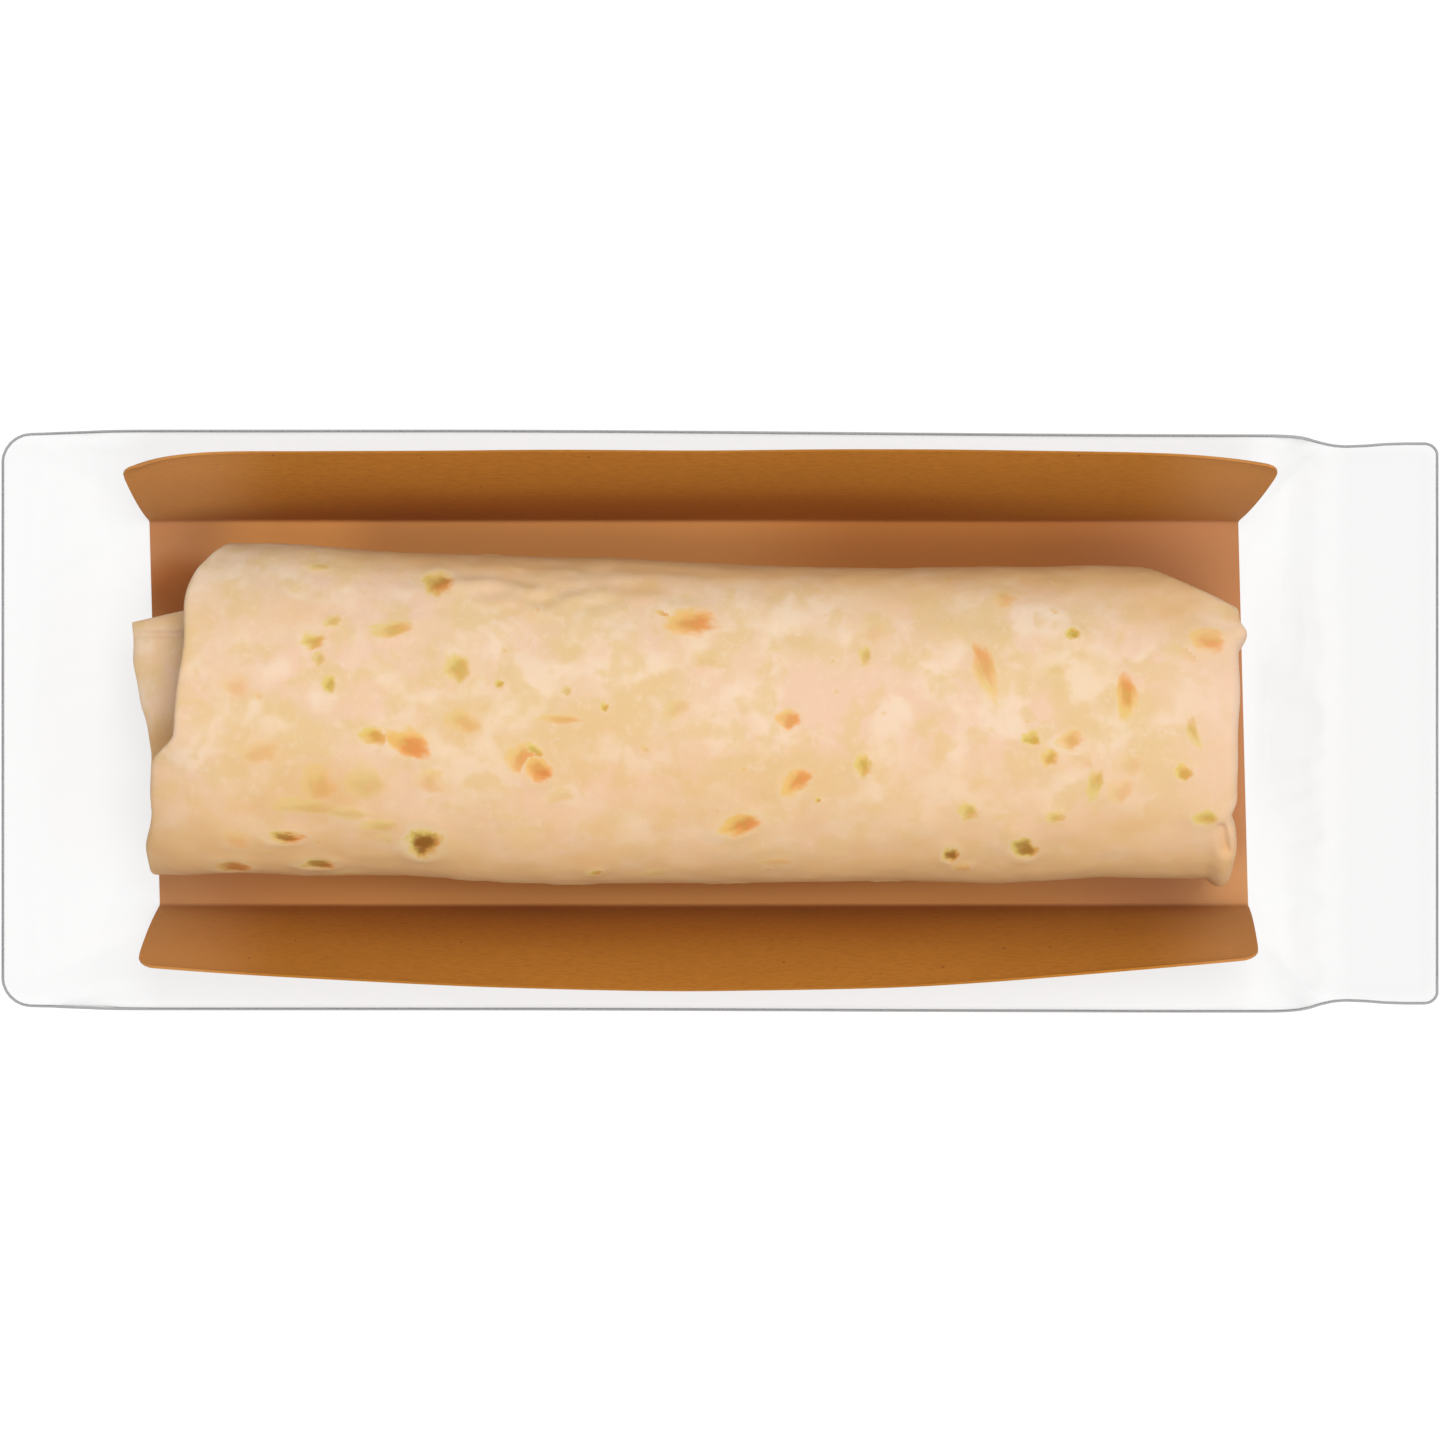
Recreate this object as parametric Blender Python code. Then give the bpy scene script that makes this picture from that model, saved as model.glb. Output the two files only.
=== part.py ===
"""Sealed clear pack of a rolled wrap on a board tray, as one closed solid.

The clear bag is filled by what lies in it, so its solid is the bag's outer form. Closed
sections are lofted along X: flat where the tray's floor carries them, flared along the
tray's walls, straight from the walls' top edges up to the roll, and drawn together at a
folded edge on the left and at a flat end seal on the right. Metres, +Z up, origin under
the middle of the pack on the surface that it lies on.
"""
import math

import bmesh
import bpy

# Overall size of the pack.
PACK_LENGTH = 0.2488
PACK_WIDTH = 0.0990
PACK_HEIGHT = 0.0462

# The tray: its flat floor, and the top edges of its two flared walls.
FLOOR_WIDTH = 0.0694
FLOOR_LEFT = -0.0985
FLOOR_RIGHT = 0.0915
WALL_HEIGHT = 0.0240
WALL_LEFT = -0.1005
WALL_RIGHT = 0.0945

# The roll under the film: where its top edge ends, and how its crown runs.
ROLL_LEFT = -0.0880
ROLL_RIGHT = 0.0840
CROWN_HALF_WIDTH = 0.0165
CROWN_DROP = 0.0012
CROWN_SHARE = 0.80

# The closed ends: two layers of film that meet above the ground.
CLOSED_HEIGHT = 0.0080
CLOSED_THICKNESS = 0.0010
SEAL_WIDTH = 0.0160
NECK_INSET = 0.0013
NECK_WIDTH = 0.0100
SEAL_FLARE = 0.0005
LEFT_CORNER = 0.0050
RIGHT_CORNER = 0.0022
CLOSED_BASE_SHARE = 0.97

# Softness of the form: folds, slack and how far the film bends over an edge.
FOLD_ROUND = 0.0016
SHOULDER_ROUND = 0.0060
SLOPE_SAG = 0.0009
SIDE_BULGE = 0.0008
ROUND_SHARE = 0.35
CROWN_REACH = 0.50
TOP_START_ROUND = 0.30
TOP_END_ROUND = 0.22
BASE_START_ROUND = 0.30
BASE_END_ROUND = 0.30

# How finely the form is cut.
FLAT_STEPS = 4
FOLD_STEPS = 3
SIDE_STEPS = 5
SHOULDER_STEPS = 6
SLOPE_STEPS = 8
CROWN_STEPS = 6
CORNER_STEPS = 6
WEDGE_STEPS = 12
BODY_STEPS = 26
NECK_STEPS = 11
SEAL_STEPS = 4
WELD_DISTANCE = 0.000001

LEFT_END = -PACK_LENGTH / 2
RIGHT_END = PACK_LENGTH / 2
SEAL_START = RIGHT_END - SEAL_WIDTH
HALF_THICKNESS = CLOSED_THICKNESS / 2


def clear_scene():
    """Remove whatever objects the scene holds."""
    for old in list(bpy.data.objects):
        bpy.data.objects.remove(old, do_unlink=True)


def mix(a, b, share):
    """The value that lies the given share of the way from a to b."""
    return a + (b - a) * share


def slide(t, start_round, end_round):
    """A straight ramp from 0 to 1 with both its ends rounded off."""
    t = min(max(t, 0.0), 1.0)
    slope = 1.0 / (1.0 - (start_round + end_round) / 2)
    if t < start_round:
        return slope * t * t / (2 * start_round)
    if t > 1.0 - end_round:
        return 1.0 - slope * (1.0 - t) ** 2 / (2 * end_round)
    return slope * (t - start_round / 2)


def closing(x, left_start, right_start, start_round, end_round):
    """How far the film has closed at x: 0 over the tray, 1 at either closed end."""
    if x < left_start:
        return slide((left_start - x) / (left_start - LEFT_END), start_round, end_round)
    return slide((x - right_start) / (SEAL_START - right_start), start_round, end_round)


def corner_inset(x):
    """How far the rounded corners of the pack's outline cut in from its long sides."""
    if x < LEFT_END + LEFT_CORNER:
        reach = LEFT_END + LEFT_CORNER - x
        return LEFT_CORNER - math.sqrt(max(LEFT_CORNER ** 2 - reach ** 2, 0.0))
    if x > RIGHT_END - RIGHT_CORNER:
        reach = x - (RIGHT_END - RIGHT_CORNER)
        return RIGHT_CORNER - math.sqrt(max(RIGHT_CORNER ** 2 - reach ** 2, 0.0))
    return 0.0


def half_width(x):
    """Half the width of the pack's outline at x, with the neck before the end seal."""
    neck = slide((x - SEAL_START + NECK_WIDTH) / NECK_WIDTH, 0.5, 0.5)
    flare = slide((x - SEAL_START) / NECK_WIDTH, 0.5, 0.5)
    return PACK_WIDTH / 2 - NECK_INSET * neck + SEAL_FLARE * flare - corner_inset(x)


def base_height(x):
    """Height of the film's underside: on the ground below the tray, lifted at the ends."""
    share = closing(x, FLOOR_LEFT, FLOOR_RIGHT, BASE_START_ROUND, BASE_END_ROUND)
    return mix(0.0, CLOSED_HEIGHT - HALF_THICKNESS, share)


def side_height(x):
    """Height of the pack's widest line, which runs along the walls' top edges."""
    share = closing(x, WALL_LEFT, WALL_RIGHT, BASE_START_ROUND, BASE_END_ROUND)
    return mix(WALL_HEIGHT, CLOSED_HEIGHT, share)


def crown_height(x):
    """Height of the film over the middle of the roll, which thins a little to the right."""
    along = (x - ROLL_LEFT) / (ROLL_RIGHT - ROLL_LEFT)
    crown = PACK_HEIGHT - CROWN_DROP * slide(along, 0.5, 0.5)
    share = closing(x, ROLL_LEFT, ROLL_RIGHT, TOP_START_ROUND, TOP_END_ROUND)
    return mix(crown, CLOSED_HEIGHT + HALF_THICKNESS, share)


def between(start, end, steps):
    """Points on a straight run, without its last one."""
    return [
        (mix(start[0], end[0], i / steps), mix(start[1], end[1], i / steps))
        for i in range(steps)
    ]


def bent(start, control, end, steps):
    """Points on a run that bends towards a control point, without its last one."""
    points = []
    for i in range(steps):
        t = i / steps
        weights = ((1 - t) ** 2, 2 * t * (1 - t), t * t)
        corners = (start, control, end)
        points.append(tuple(
            sum(w * corner[axis] for w, corner in zip(weights, corners))
            for axis in (0, 1)
        ))
    return points


def towards(start, end, distance):
    """The point at the given distance from start on the way to end, at most a third on."""
    length = math.hypot(end[0] - start[0], end[1] - start[1])
    share = min(distance / length, ROUND_SHARE)
    return (mix(start[0], end[0], share), mix(start[1], end[1], share))


def half_section(x):
    """The (y, z) points of one half of the section at x, from its base to its crown."""
    closed = closing(x, FLOOR_LEFT, FLOOR_RIGHT, BASE_START_ROUND, BASE_END_ROUND)
    width = half_width(x)
    low = base_height(x)
    side = side_height(x)
    top = crown_height(x)
    fold = (mix(FLOOR_WIDTH / 2, width * CLOSED_BASE_SHARE, closed), low)
    shoulder = (width, side)
    crown_edge = (CROWN_HALF_WIDTH, mix(side, top, CROWN_SHARE))

    fold_in = towards(fold, (0.0, low), FOLD_ROUND)
    fold_out = towards(fold, shoulder, FOLD_ROUND)
    shoulder_in = towards(shoulder, fold, SHOULDER_ROUND)
    shoulder_out = towards(shoulder, crown_edge, SHOULDER_ROUND)
    fill = (top - side) / (PACK_HEIGHT - WALL_HEIGHT)
    side_middle = (
        (fold_out[0] + shoulder_in[0]) / 2 + SIDE_BULGE * fill,
        (fold_out[1] + shoulder_in[1]) / 2 - SIDE_BULGE * fill / 2,
    )
    slope_middle = (
        (shoulder_out[0] + crown_edge[0]) / 2,
        (shoulder_out[1] + crown_edge[1]) / 2 - SLOPE_SAG * fill,
    )
    crown_pull = (CROWN_HALF_WIDTH * CROWN_REACH, top)

    points = between((0.0, low), fold_in, FLAT_STEPS)
    points += bent(fold_in, fold, fold_out, FOLD_STEPS)
    points += bent(fold_out, side_middle, shoulder_in, SIDE_STEPS)
    points += bent(shoulder_in, shoulder, shoulder_out, SHOULDER_STEPS)
    points += bent(shoulder_out, slope_middle, crown_edge, SLOPE_STEPS)
    points += bent(crown_edge, crown_pull, (0.0, top), CROWN_STEPS)
    points.append((0.0, top))
    widest = max(y for y, _ in points)
    return [(y * width / widest, z) for y, z in points]


def section(x):
    """The closed ring of points round the pack at x, first point repeated at its end."""
    half = half_section(x)
    ring = [(x, y, z) for y, z in half]
    ring += [(x, -y, z) for y, z in reversed(half[:-1])]
    return ring


def run(start, end, steps):
    """Evenly spaced stations from start to end, without the last one."""
    return [mix(start, end, i / steps) for i in range(steps)]


def stations():
    """Places along X where the sections stand, close together round the corners."""
    quarter = [math.radians(90 * i / CORNER_STEPS) for i in range(CORNER_STEPS + 1)]
    left_arc = [LEFT_END + LEFT_CORNER * (1 - math.cos(angle)) for angle in quarter]
    right_arc = [RIGHT_END - RIGHT_CORNER * (1 - math.cos(angle)) for angle in quarter]
    places = left_arc[:-1]
    places += run(left_arc[-1], ROLL_LEFT, WEDGE_STEPS)
    places += run(ROLL_LEFT, ROLL_RIGHT, BODY_STEPS)
    places += run(ROLL_RIGHT, SEAL_START, NECK_STEPS)
    places += run(SEAL_START, right_arc[-1], SEAL_STEPS)
    places += reversed(right_arc)
    return places


def film_material():
    """Clear packing film: colourless and glossy."""
    material = bpy.data.materials.new("clear_film")
    material.use_nodes = True
    shader = material.node_tree.nodes["Principled BSDF"]
    shader.inputs["Base Color"].default_value = (0.90, 0.91, 0.92, 1.0)
    shader.inputs["Roughness"].default_value = 0.15
    shader.inputs["Metallic"].default_value = 0.0
    return material


def make_film_pack():
    """Bend a flat grid round the sections, weld its seam and close both ends."""
    rings = [section(x) for x in stations()]
    last_ring = len(rings) - 1
    last_point = len(rings[0]) - 1
    bm = bmesh.new()
    bmesh.ops.create_grid(bm, x_segments=last_ring, y_segments=last_point, size=1.0)
    for vert in bm.verts:
        ring = round((vert.co.x + 1.0) / 2.0 * last_ring)
        point = round((vert.co.y + 1.0) / 2.0 * last_point)
        vert.co = rings[ring][point]
    bmesh.ops.remove_doubles(bm, verts=bm.verts, dist=WELD_DISTANCE)
    open_edges = [edge for edge in bm.edges if edge.is_boundary]
    bmesh.ops.holes_fill(bm, edges=open_edges, sides=0)
    bmesh.ops.recalc_face_normals(bm, faces=bm.faces)

    mesh = bpy.data.meshes.new("film_pack")
    bm.to_mesh(mesh)
    bm.free()
    mesh.shade_smooth()
    mesh.materials.append(film_material())
    pack = bpy.data.objects.new("film_pack", mesh)
    bpy.context.scene.collection.objects.link(pack)
    return pack


clear_scene()
make_film_pack()
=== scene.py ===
"""A rolled tortilla wrap on its kraft board tray, sealed in a clear film pack.

The pack lies flat, its roll along X, and the camera looks straight down on it. The film
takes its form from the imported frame. The tray and the roll are made to lie inside it.
"""
import math
import random

import bmesh
import bpy
import numpy as np
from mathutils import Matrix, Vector, noise
from mathutils.bvhtree import BVHTree


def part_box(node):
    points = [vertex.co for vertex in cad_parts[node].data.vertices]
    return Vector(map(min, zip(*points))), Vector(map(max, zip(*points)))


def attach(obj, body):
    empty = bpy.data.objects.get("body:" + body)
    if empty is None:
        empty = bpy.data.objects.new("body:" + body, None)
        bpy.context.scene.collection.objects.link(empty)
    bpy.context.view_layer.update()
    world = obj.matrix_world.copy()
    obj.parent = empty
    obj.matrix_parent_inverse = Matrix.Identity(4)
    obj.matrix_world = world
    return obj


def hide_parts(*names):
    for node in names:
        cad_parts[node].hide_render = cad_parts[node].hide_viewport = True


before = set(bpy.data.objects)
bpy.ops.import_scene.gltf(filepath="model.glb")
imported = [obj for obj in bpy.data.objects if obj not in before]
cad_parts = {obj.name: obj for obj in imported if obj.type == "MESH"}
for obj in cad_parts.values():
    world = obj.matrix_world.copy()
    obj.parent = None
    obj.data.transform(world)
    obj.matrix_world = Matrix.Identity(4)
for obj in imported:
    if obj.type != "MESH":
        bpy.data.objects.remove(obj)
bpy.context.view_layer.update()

bl_info = {
    "name": "Packed Tortilla Wrap",
    "version": (1, 0, 0),
    "blender": (4, 5, 0),
    "location": "3D Viewport > Sidebar > Wrap Pack",
    "description": "Builds a tortilla wrap on a board tray in a sealed clear film pack",
    "category": "Object",
}

MM = 0.001
PACK_NODE = "film_pack"
PACK_LOW, PACK_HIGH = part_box(PACK_NODE)
# Points closer together than this are one point.
SAME_PLACE = 0.000002
DOWN = Vector((0.0, 0.0, -1.0))


# --- Small helpers ---

def mix(a, b, share):
    """The value that lies the given share of the way from a to b."""
    return a + (b - a) * share


def ease(t):
    """A smooth step from 0 to 1."""
    t = min(max(t, 0.0), 1.0)
    return t * t * (3.0 - 2.0 * t)


def curved(value, power):
    """A value from -1 to 1 raised to a power, its sign kept."""
    return math.copysign(abs(value) ** power, value)


def bell(distance, reach):
    """1 at no distance, fading smoothly to nothing beyond the reach."""
    return math.exp(-(distance / reach) ** 2)


def wander(place):
    """A smooth random value, -1 to 1, at a place that is counted in wavelengths."""
    return noise.noise(Vector(place))


def linear(hex_colour):
    """A colour written as sRGB hex, as the linear red, green and blue that shaders take."""
    channels = [int(hex_colour[i:i + 2], 16) / 255 for i in (0, 2, 4)]
    return [c / 12.92 if c <= 0.04045 else ((c + 0.055) / 1.055) ** 2.4 for c in channels]


def rgba(colour):
    """A colour with full opacity."""
    return (*colour, 1.0)


def scale_of(size_mm):
    """The texture scale at which a noise's features are about this many millimetres."""
    return 1.0 / (size_mm * MM)


def socket_of(sockets, key=None):
    """The socket with this number, or the first one in use, of this name if one is given."""
    if isinstance(key, int):
        return sockets[key]
    return next(socket for socket in sockets if socket.enabled and key in (None, socket.name))


def add_node(tree, kind, inputs=(), **settings):
    """Add a shader node, set its settings, and fill its inputs or link them to others."""
    node = tree.nodes.new("ShaderNode" + kind)
    for name, value in settings.items():
        setattr(node, name, value)
    for key, value in dict(inputs).items():
        target = socket_of(node.inputs, key)
        if isinstance(value, bpy.types.Node):
            value = socket_of(value.outputs)
        if isinstance(value, bpy.types.NodeSocket):
            tree.links.new(value, target)
        else:
            target.default_value = value
    return node


def new_material(name):
    """An empty material and its node tree."""
    material = bpy.data.materials.new(name)
    material.use_nodes = True
    material.node_tree.nodes.clear()
    return material, material.node_tree


def layered(tree, colour, layers, interpolation="SMOOTHSTEP"):
    """Lay colours over a colour, each by a value: where it sets in, where it is full, its most."""
    for value, start, full, most, over in layers:
        share = add_node(tree, "MapRange", {
            "Value": value, "From Min": start, "From Max": full, "To Max": most},
            interpolation_type=interpolation)
        colour = add_node(tree, "Mix", {"Factor": share, "A": colour, "B": over}, data_type="RGBA")
    return colour


def new_piece(name, bm, material, sharp_degrees=None):
    """Turn a bmesh into a smooth-shaded piece of the scene."""
    mesh = bpy.data.meshes.new(name)
    bm.to_mesh(mesh)
    bm.free()
    mesh.shade_smooth()
    if sharp_degrees is not None:
        mesh.set_sharp_from_angle(angle=math.radians(sharp_degrees))
    mesh.materials.append(material)
    piece = bpy.data.objects.new(name, mesh)
    bpy.context.scene.collection.objects.link(piece)
    return piece


def bent_sheet(along, across, place):
    """A flat grid whose every point is put where place(step along, step across) says."""
    bm = bmesh.new()
    bmesh.ops.create_grid(bm, x_segments=along, y_segments=across, size=0.5)
    for vert in bm.verts:
        i = round((vert.co.x + 0.5) * along)
        j = round((vert.co.y + 0.5) * across)
        vert.co = place(i, j)
    return bm


def close_up(bm):
    """Weld a sheet's meeting edges, fill what is still open, and face it outwards."""
    bmesh.ops.remove_doubles(bm, verts=bm.verts, dist=SAME_PLACE)
    open_edges = [edge for edge in bm.edges if edge.is_boundary]
    if open_edges:
        bmesh.ops.holes_fill(bm, edges=open_edges, sides=0)
    bmesh.ops.recalc_face_normals(bm, faces=bm.faces)


# --- What a user would change ---

def a_length(name, metres, description):
    """A size that a user can change."""
    return bpy.props.FloatProperty(
        name=name, description=description, default=metres, unit="LENGTH")


def an_angle(name, degrees, description):
    """An angle that a user can change."""
    return bpy.props.FloatProperty(
        name=name, description=description, default=math.radians(degrees), subtype="ANGLE")


def a_share(name, share, description):
    """A share from 0 to 1 that a user can change."""
    return bpy.props.FloatProperty(
        name=name, description=description, default=share, min=0.0, max=1.0, subtype="FACTOR")


def a_strength(name, strength, description):
    """A strength of light that a user can change."""
    return bpy.props.FloatProperty(
        name=name, description=description, default=strength, min=0.0)


def a_colour(name, hex_colour, description):
    """A colour that a user can change."""
    return bpy.props.FloatVectorProperty(
        name=name, description=description, default=linear(hex_colour), subtype="COLOR")


class TraySettings(bpy.types.PropertyGroup):
    """Sizes and colours of the board tray."""

    floor_width: a_length("Floor width", 0.0662, "Between the two folds")
    wall_length: a_length("Wall length", 0.0276, "From a fold to the wall's top, along the board")
    board: a_length("Board", 0.00045, "Thickness of the board")
    fold_angle: an_angle("Fold angle", 75, "How steeply a wall rises at its fold")
    flare_angle: an_angle("Flare angle", 25, "How much a wall leans out by its top edge")
    colour: a_colour("Board colour", "b97829", "Unbleached kraft board")
    fibre_colour: a_colour("Fibre colour", "9e6118", "Darker fibres in the board")
    # Partly painted light: the floor's colour is paler than the walls' board, standing in for light
    # bounced onto the floor, and a little duller in hue.
    floor_colour: a_colour("Floor colour", "c68a50", "The board's inner face, rubbed on the floor")
    # Painted shade: the floor is made darker near its two open ends.
    end_shade_colour: a_colour("End colour", "b47c53", "The floor's colour near its two open ends")
    # Painted shade: the walls are made darker low down near the folds, where the shade falls.
    fold_shade_colour: a_colour("Fold colour", "8f4500", "The board low on the walls, where it is stained")


class RollSettings(bpy.types.PropertyGroup):
    """Sizes and colours of the tortilla roll."""

    top: a_length("Top", 0.0449, "Height of the roll's crown above the ground, at its left end")
    half_width: a_length("Half width", 0.0278, "Half of the roll's width at its left end")
    layer: a_length("Layer", 0.0018, "Thickness of one layer of tortilla")
    waviness: a_length("Waviness", 0.0006, "Depth of the broad hollows in the surface")
    crumb_colour: a_colour("Dough colour", "e4c3a1", "Baked flour dough")
    pink_colour: a_colour("Warm patches", "e6c2a6", "Patches of the dough with a pinkish cast")
    yellow_colour: a_colour("Yellow patches", "debe8b", "Patches that baked a little more")
    pale_colour: a_colour("Pale patches", "ebd3b8", "Floury, lifted skin")
    tan_colour: a_colour("Tan dough", "deb07a", "Dough low on the sides and in darker patches")
    olive_colour: a_colour("Lightly toasted", "dbc066", "Yellow spots where dough met the plate")
    orange_colour: a_colour("Well toasted", "eab26e", "Orange blisters that stayed on it longer")
    moss_colour: a_colour("Yellow spot's middle", "b79838", "Darkest part of a yellow spot")
    brown_colour: a_colour("Blister's middle", "d98745", "Darkest part of an orange blister")
    scorched_colour: a_colour("Scorched", "8c560f", "Middle of the few spots that nearly burnt")


class FilmSettings(bpy.types.PropertyGroup):
    """Sizes and clearness of the film."""

    weld_width: a_length("Weld width", 0.0005, "Width of the melted line round the outline")
    wrinkle: a_length("Wrinkle", 0.0006, "Depth of the gathers where the film closes")
    clearness: a_share("Clearness", 0.976, "Share of the light that one layer lets through")
    seal_clearness: a_share("Seal clearness", 0.958, "The same share in the hazy end seal")
    mirror: a_share("Mirror", 0.35, "Share of its mirrored light that a polarised lens lets by")
    roughness: a_share("Roughness", 0.10, "How much the film blurs what it mirrors")


class StageSettings(bpy.types.PropertyGroup):
    """Camera, floor and light."""

    camera_height: a_length("Camera height", 1.2, "Distance of the camera above the floor")
    view_width: a_length("View width", 0.2513, "How much of the floor the picture takes in")
    floor_colour: a_colour("Floor colour", "868686", "Plain pale paper")
    sky_strength: a_strength("Sky strength", 0.36, "Brightness of the light from all round")
    lamp_power: a_strength("Lamp power", 22.8, "Power of the far side's soft lamp, in watts")
    fill_share: a_share("Fill share", 0.86, "The near lamp's power as a share of the far one's")
    floor_glow: a_strength("Floor glow", 0.82, "Light that comes up through the paper")


# --- Kraft board tray ---

# Each wall: the side it stands on, where its fold stops at the left and the right, how far
# its top edge runs past those ends, how many degrees steeper than the fold angle it stands
# in its middle, how many again at either end, and how late along each half that comes.
WALLS = {
    "far": {
        "side": 1.0, "ends": (-0.0995, 0.0904), "overhang": (0.0032, 0.0059),
        "set": 2.3, "lean": (6.0, 5.5), "lateness": (15.0, 8.0)},
    "near": {
        "side": -1.0, "ends": (-0.0977, 0.0921), "overhang": (0.0022, 0.0001),
        "set": -4.3, "lean": (9.5, 12.5), "lateness": (1.8, 1.8)},
}
FLOOR_CENTRE = 0.0012
WALL_CORNER = 0.0038
TRAY_BASE = 0.0003
OVERHANG_CURVE = 1.3
BOARD_RIPPLE = 0.0004
RIPPLE_LENGTH = 0.035
RIPPLE_HEIGHT = 0.020
RIPPLE_START = 0.010
FOLD_RADIUS = 0.0009
FLOOR_STEPS = 24
WALL_STEPS = 20
TRAY_STEPS = 150
FLOOR_FACE_HEIGHT = 0.0011
# Middle along X of the walls' painted shade and of the floor's inner colour.
SHADE_MIDDLE = -0.0115
# Stretches of the board along X or up Z: the middle of each, how far from it the stretch
# counts in full, how far from it it ends, and how much it counts.
BOARD_STRETCHES = {
    "between the pale ends": ("X", -0.0015, 0.072, 0.090, 1.0),
    # The walls' painted shade: full in the middle of the length, and low down on the walls.
    "shaded along": ("X", SHADE_MIDDLE, 0.035, 0.078, 1.0),
    "shaded up": ("Z", 0.0075, 0.0010, 0.0105, 0.60),
    "floor's inner part": ("X", SHADE_MIDDLE, 0.055, 0.092, 1.0),
}
# Painted shadows and painted light on the tray's floor: dark marks where the roll and the flap shade
# it, pale marks where more light reaches it. Each has its place along and across the tray, its half
# length and half width, its strength and its colour, and has its full strength within the core's
# share of its size.
FLOOR_SHADOWS_AND_LIGHTS = (
    (0.042, 0.0320, 0.047, 0.0300, 0.50, "8f4500"),
    (-0.094, 0.0225, 0.010, 0.0085, 0.75, "8f4500"),
    (-0.010, -0.0262, 0.085, 0.0052, 0.50, "8f4500"),
    (-0.075, 0.0320, 0.018, 0.0140, 0.60, "efab61"),
    (0.090, -0.0300, 0.014, 0.0100, 0.50, "d29e6a"),
    (-0.097, -0.0310, 0.014, 0.0080, 0.30, "d29e6a"),
)
MARK_CORE = 0.3


def wall_run(distance, steep, flare, length):
    """How far out and up a wall has come at a distance from its fold, along the board."""
    if distance <= 0.0:
        return 0.0, 0.0
    bend = FOLD_RADIUS * steep
    if distance < bend:
        turn = distance / FOLD_RADIUS
        return FOLD_RADIUS * math.sin(turn), FOLD_RADIUS * (1 - math.cos(turn))
    out = FOLD_RADIUS * math.sin(steep)
    up = FOLD_RADIUS * (1 - math.cos(steep))
    rate = flare / length
    turned = steep - rate * (distance - bend)
    out += (math.sin(steep) - math.sin(turned)) / rate
    up += (math.cos(turned) - math.cos(steep)) / rate
    return out, up


def wall_end(share, length):
    """How far the rounded corner of a wall cuts in at a share of the way up it."""
    reach = WALL_CORNER - (1.0 - share) * length
    if reach <= 0.0:
        return 0.0
    return WALL_CORNER - math.sqrt(max(WALL_CORNER ** 2 - reach ** 2, 0.0))


def tray_point(tray, i, j):
    """Where a point of the flat blank comes to lie once both walls are folded up."""
    across = (j - WALL_STEPS) / FLOOR_STEPS
    wall = WALLS["far"] if across > 0.5 else WALLS["near"]
    on_floor = min(max(across, 0.0), 1.0)
    left, right = (
        mix(near, far, on_floor)
        for near, far in zip(WALLS["near"]["ends"], WALLS["far"]["ends"]))
    share = ease(max(abs(across - 0.5) - 0.5, 0.0) * FLOOR_STEPS / WALL_STEPS)
    distance = share * tray.wall_length
    cut = wall_end(share, tray.wall_length)
    left -= wall["overhang"][0] * share ** OVERHANG_CURVE - cut
    right += wall["overhang"][1] * share ** OVERHANG_CURVE - cut
    x = mix(left, right, i / TRAY_STEPS)
    off_centre = 2.0 * i / TRAY_STEPS - 1.0
    half = 1 if off_centre > 0 else 0
    lean = wall["lean"][half] * abs(off_centre) ** wall["lateness"][half]
    steep = tray.fold_angle + math.radians(wall["set"] + lean)
    out, up = wall_run(distance, steep, tray.flare_angle, tray.wall_length)
    y = FLOOR_CENTRE + (abs(on_floor - 0.5) * tray.floor_width + out) * wall["side"]
    ripple = wander((x / RIPPLE_LENGTH, y / RIPPLE_HEIGHT, 3.0)) * BOARD_RIPPLE
    return Vector((x, y + ripple * min(distance / RIPPLE_START, 1.0), TRAY_BASE + up))


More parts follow.
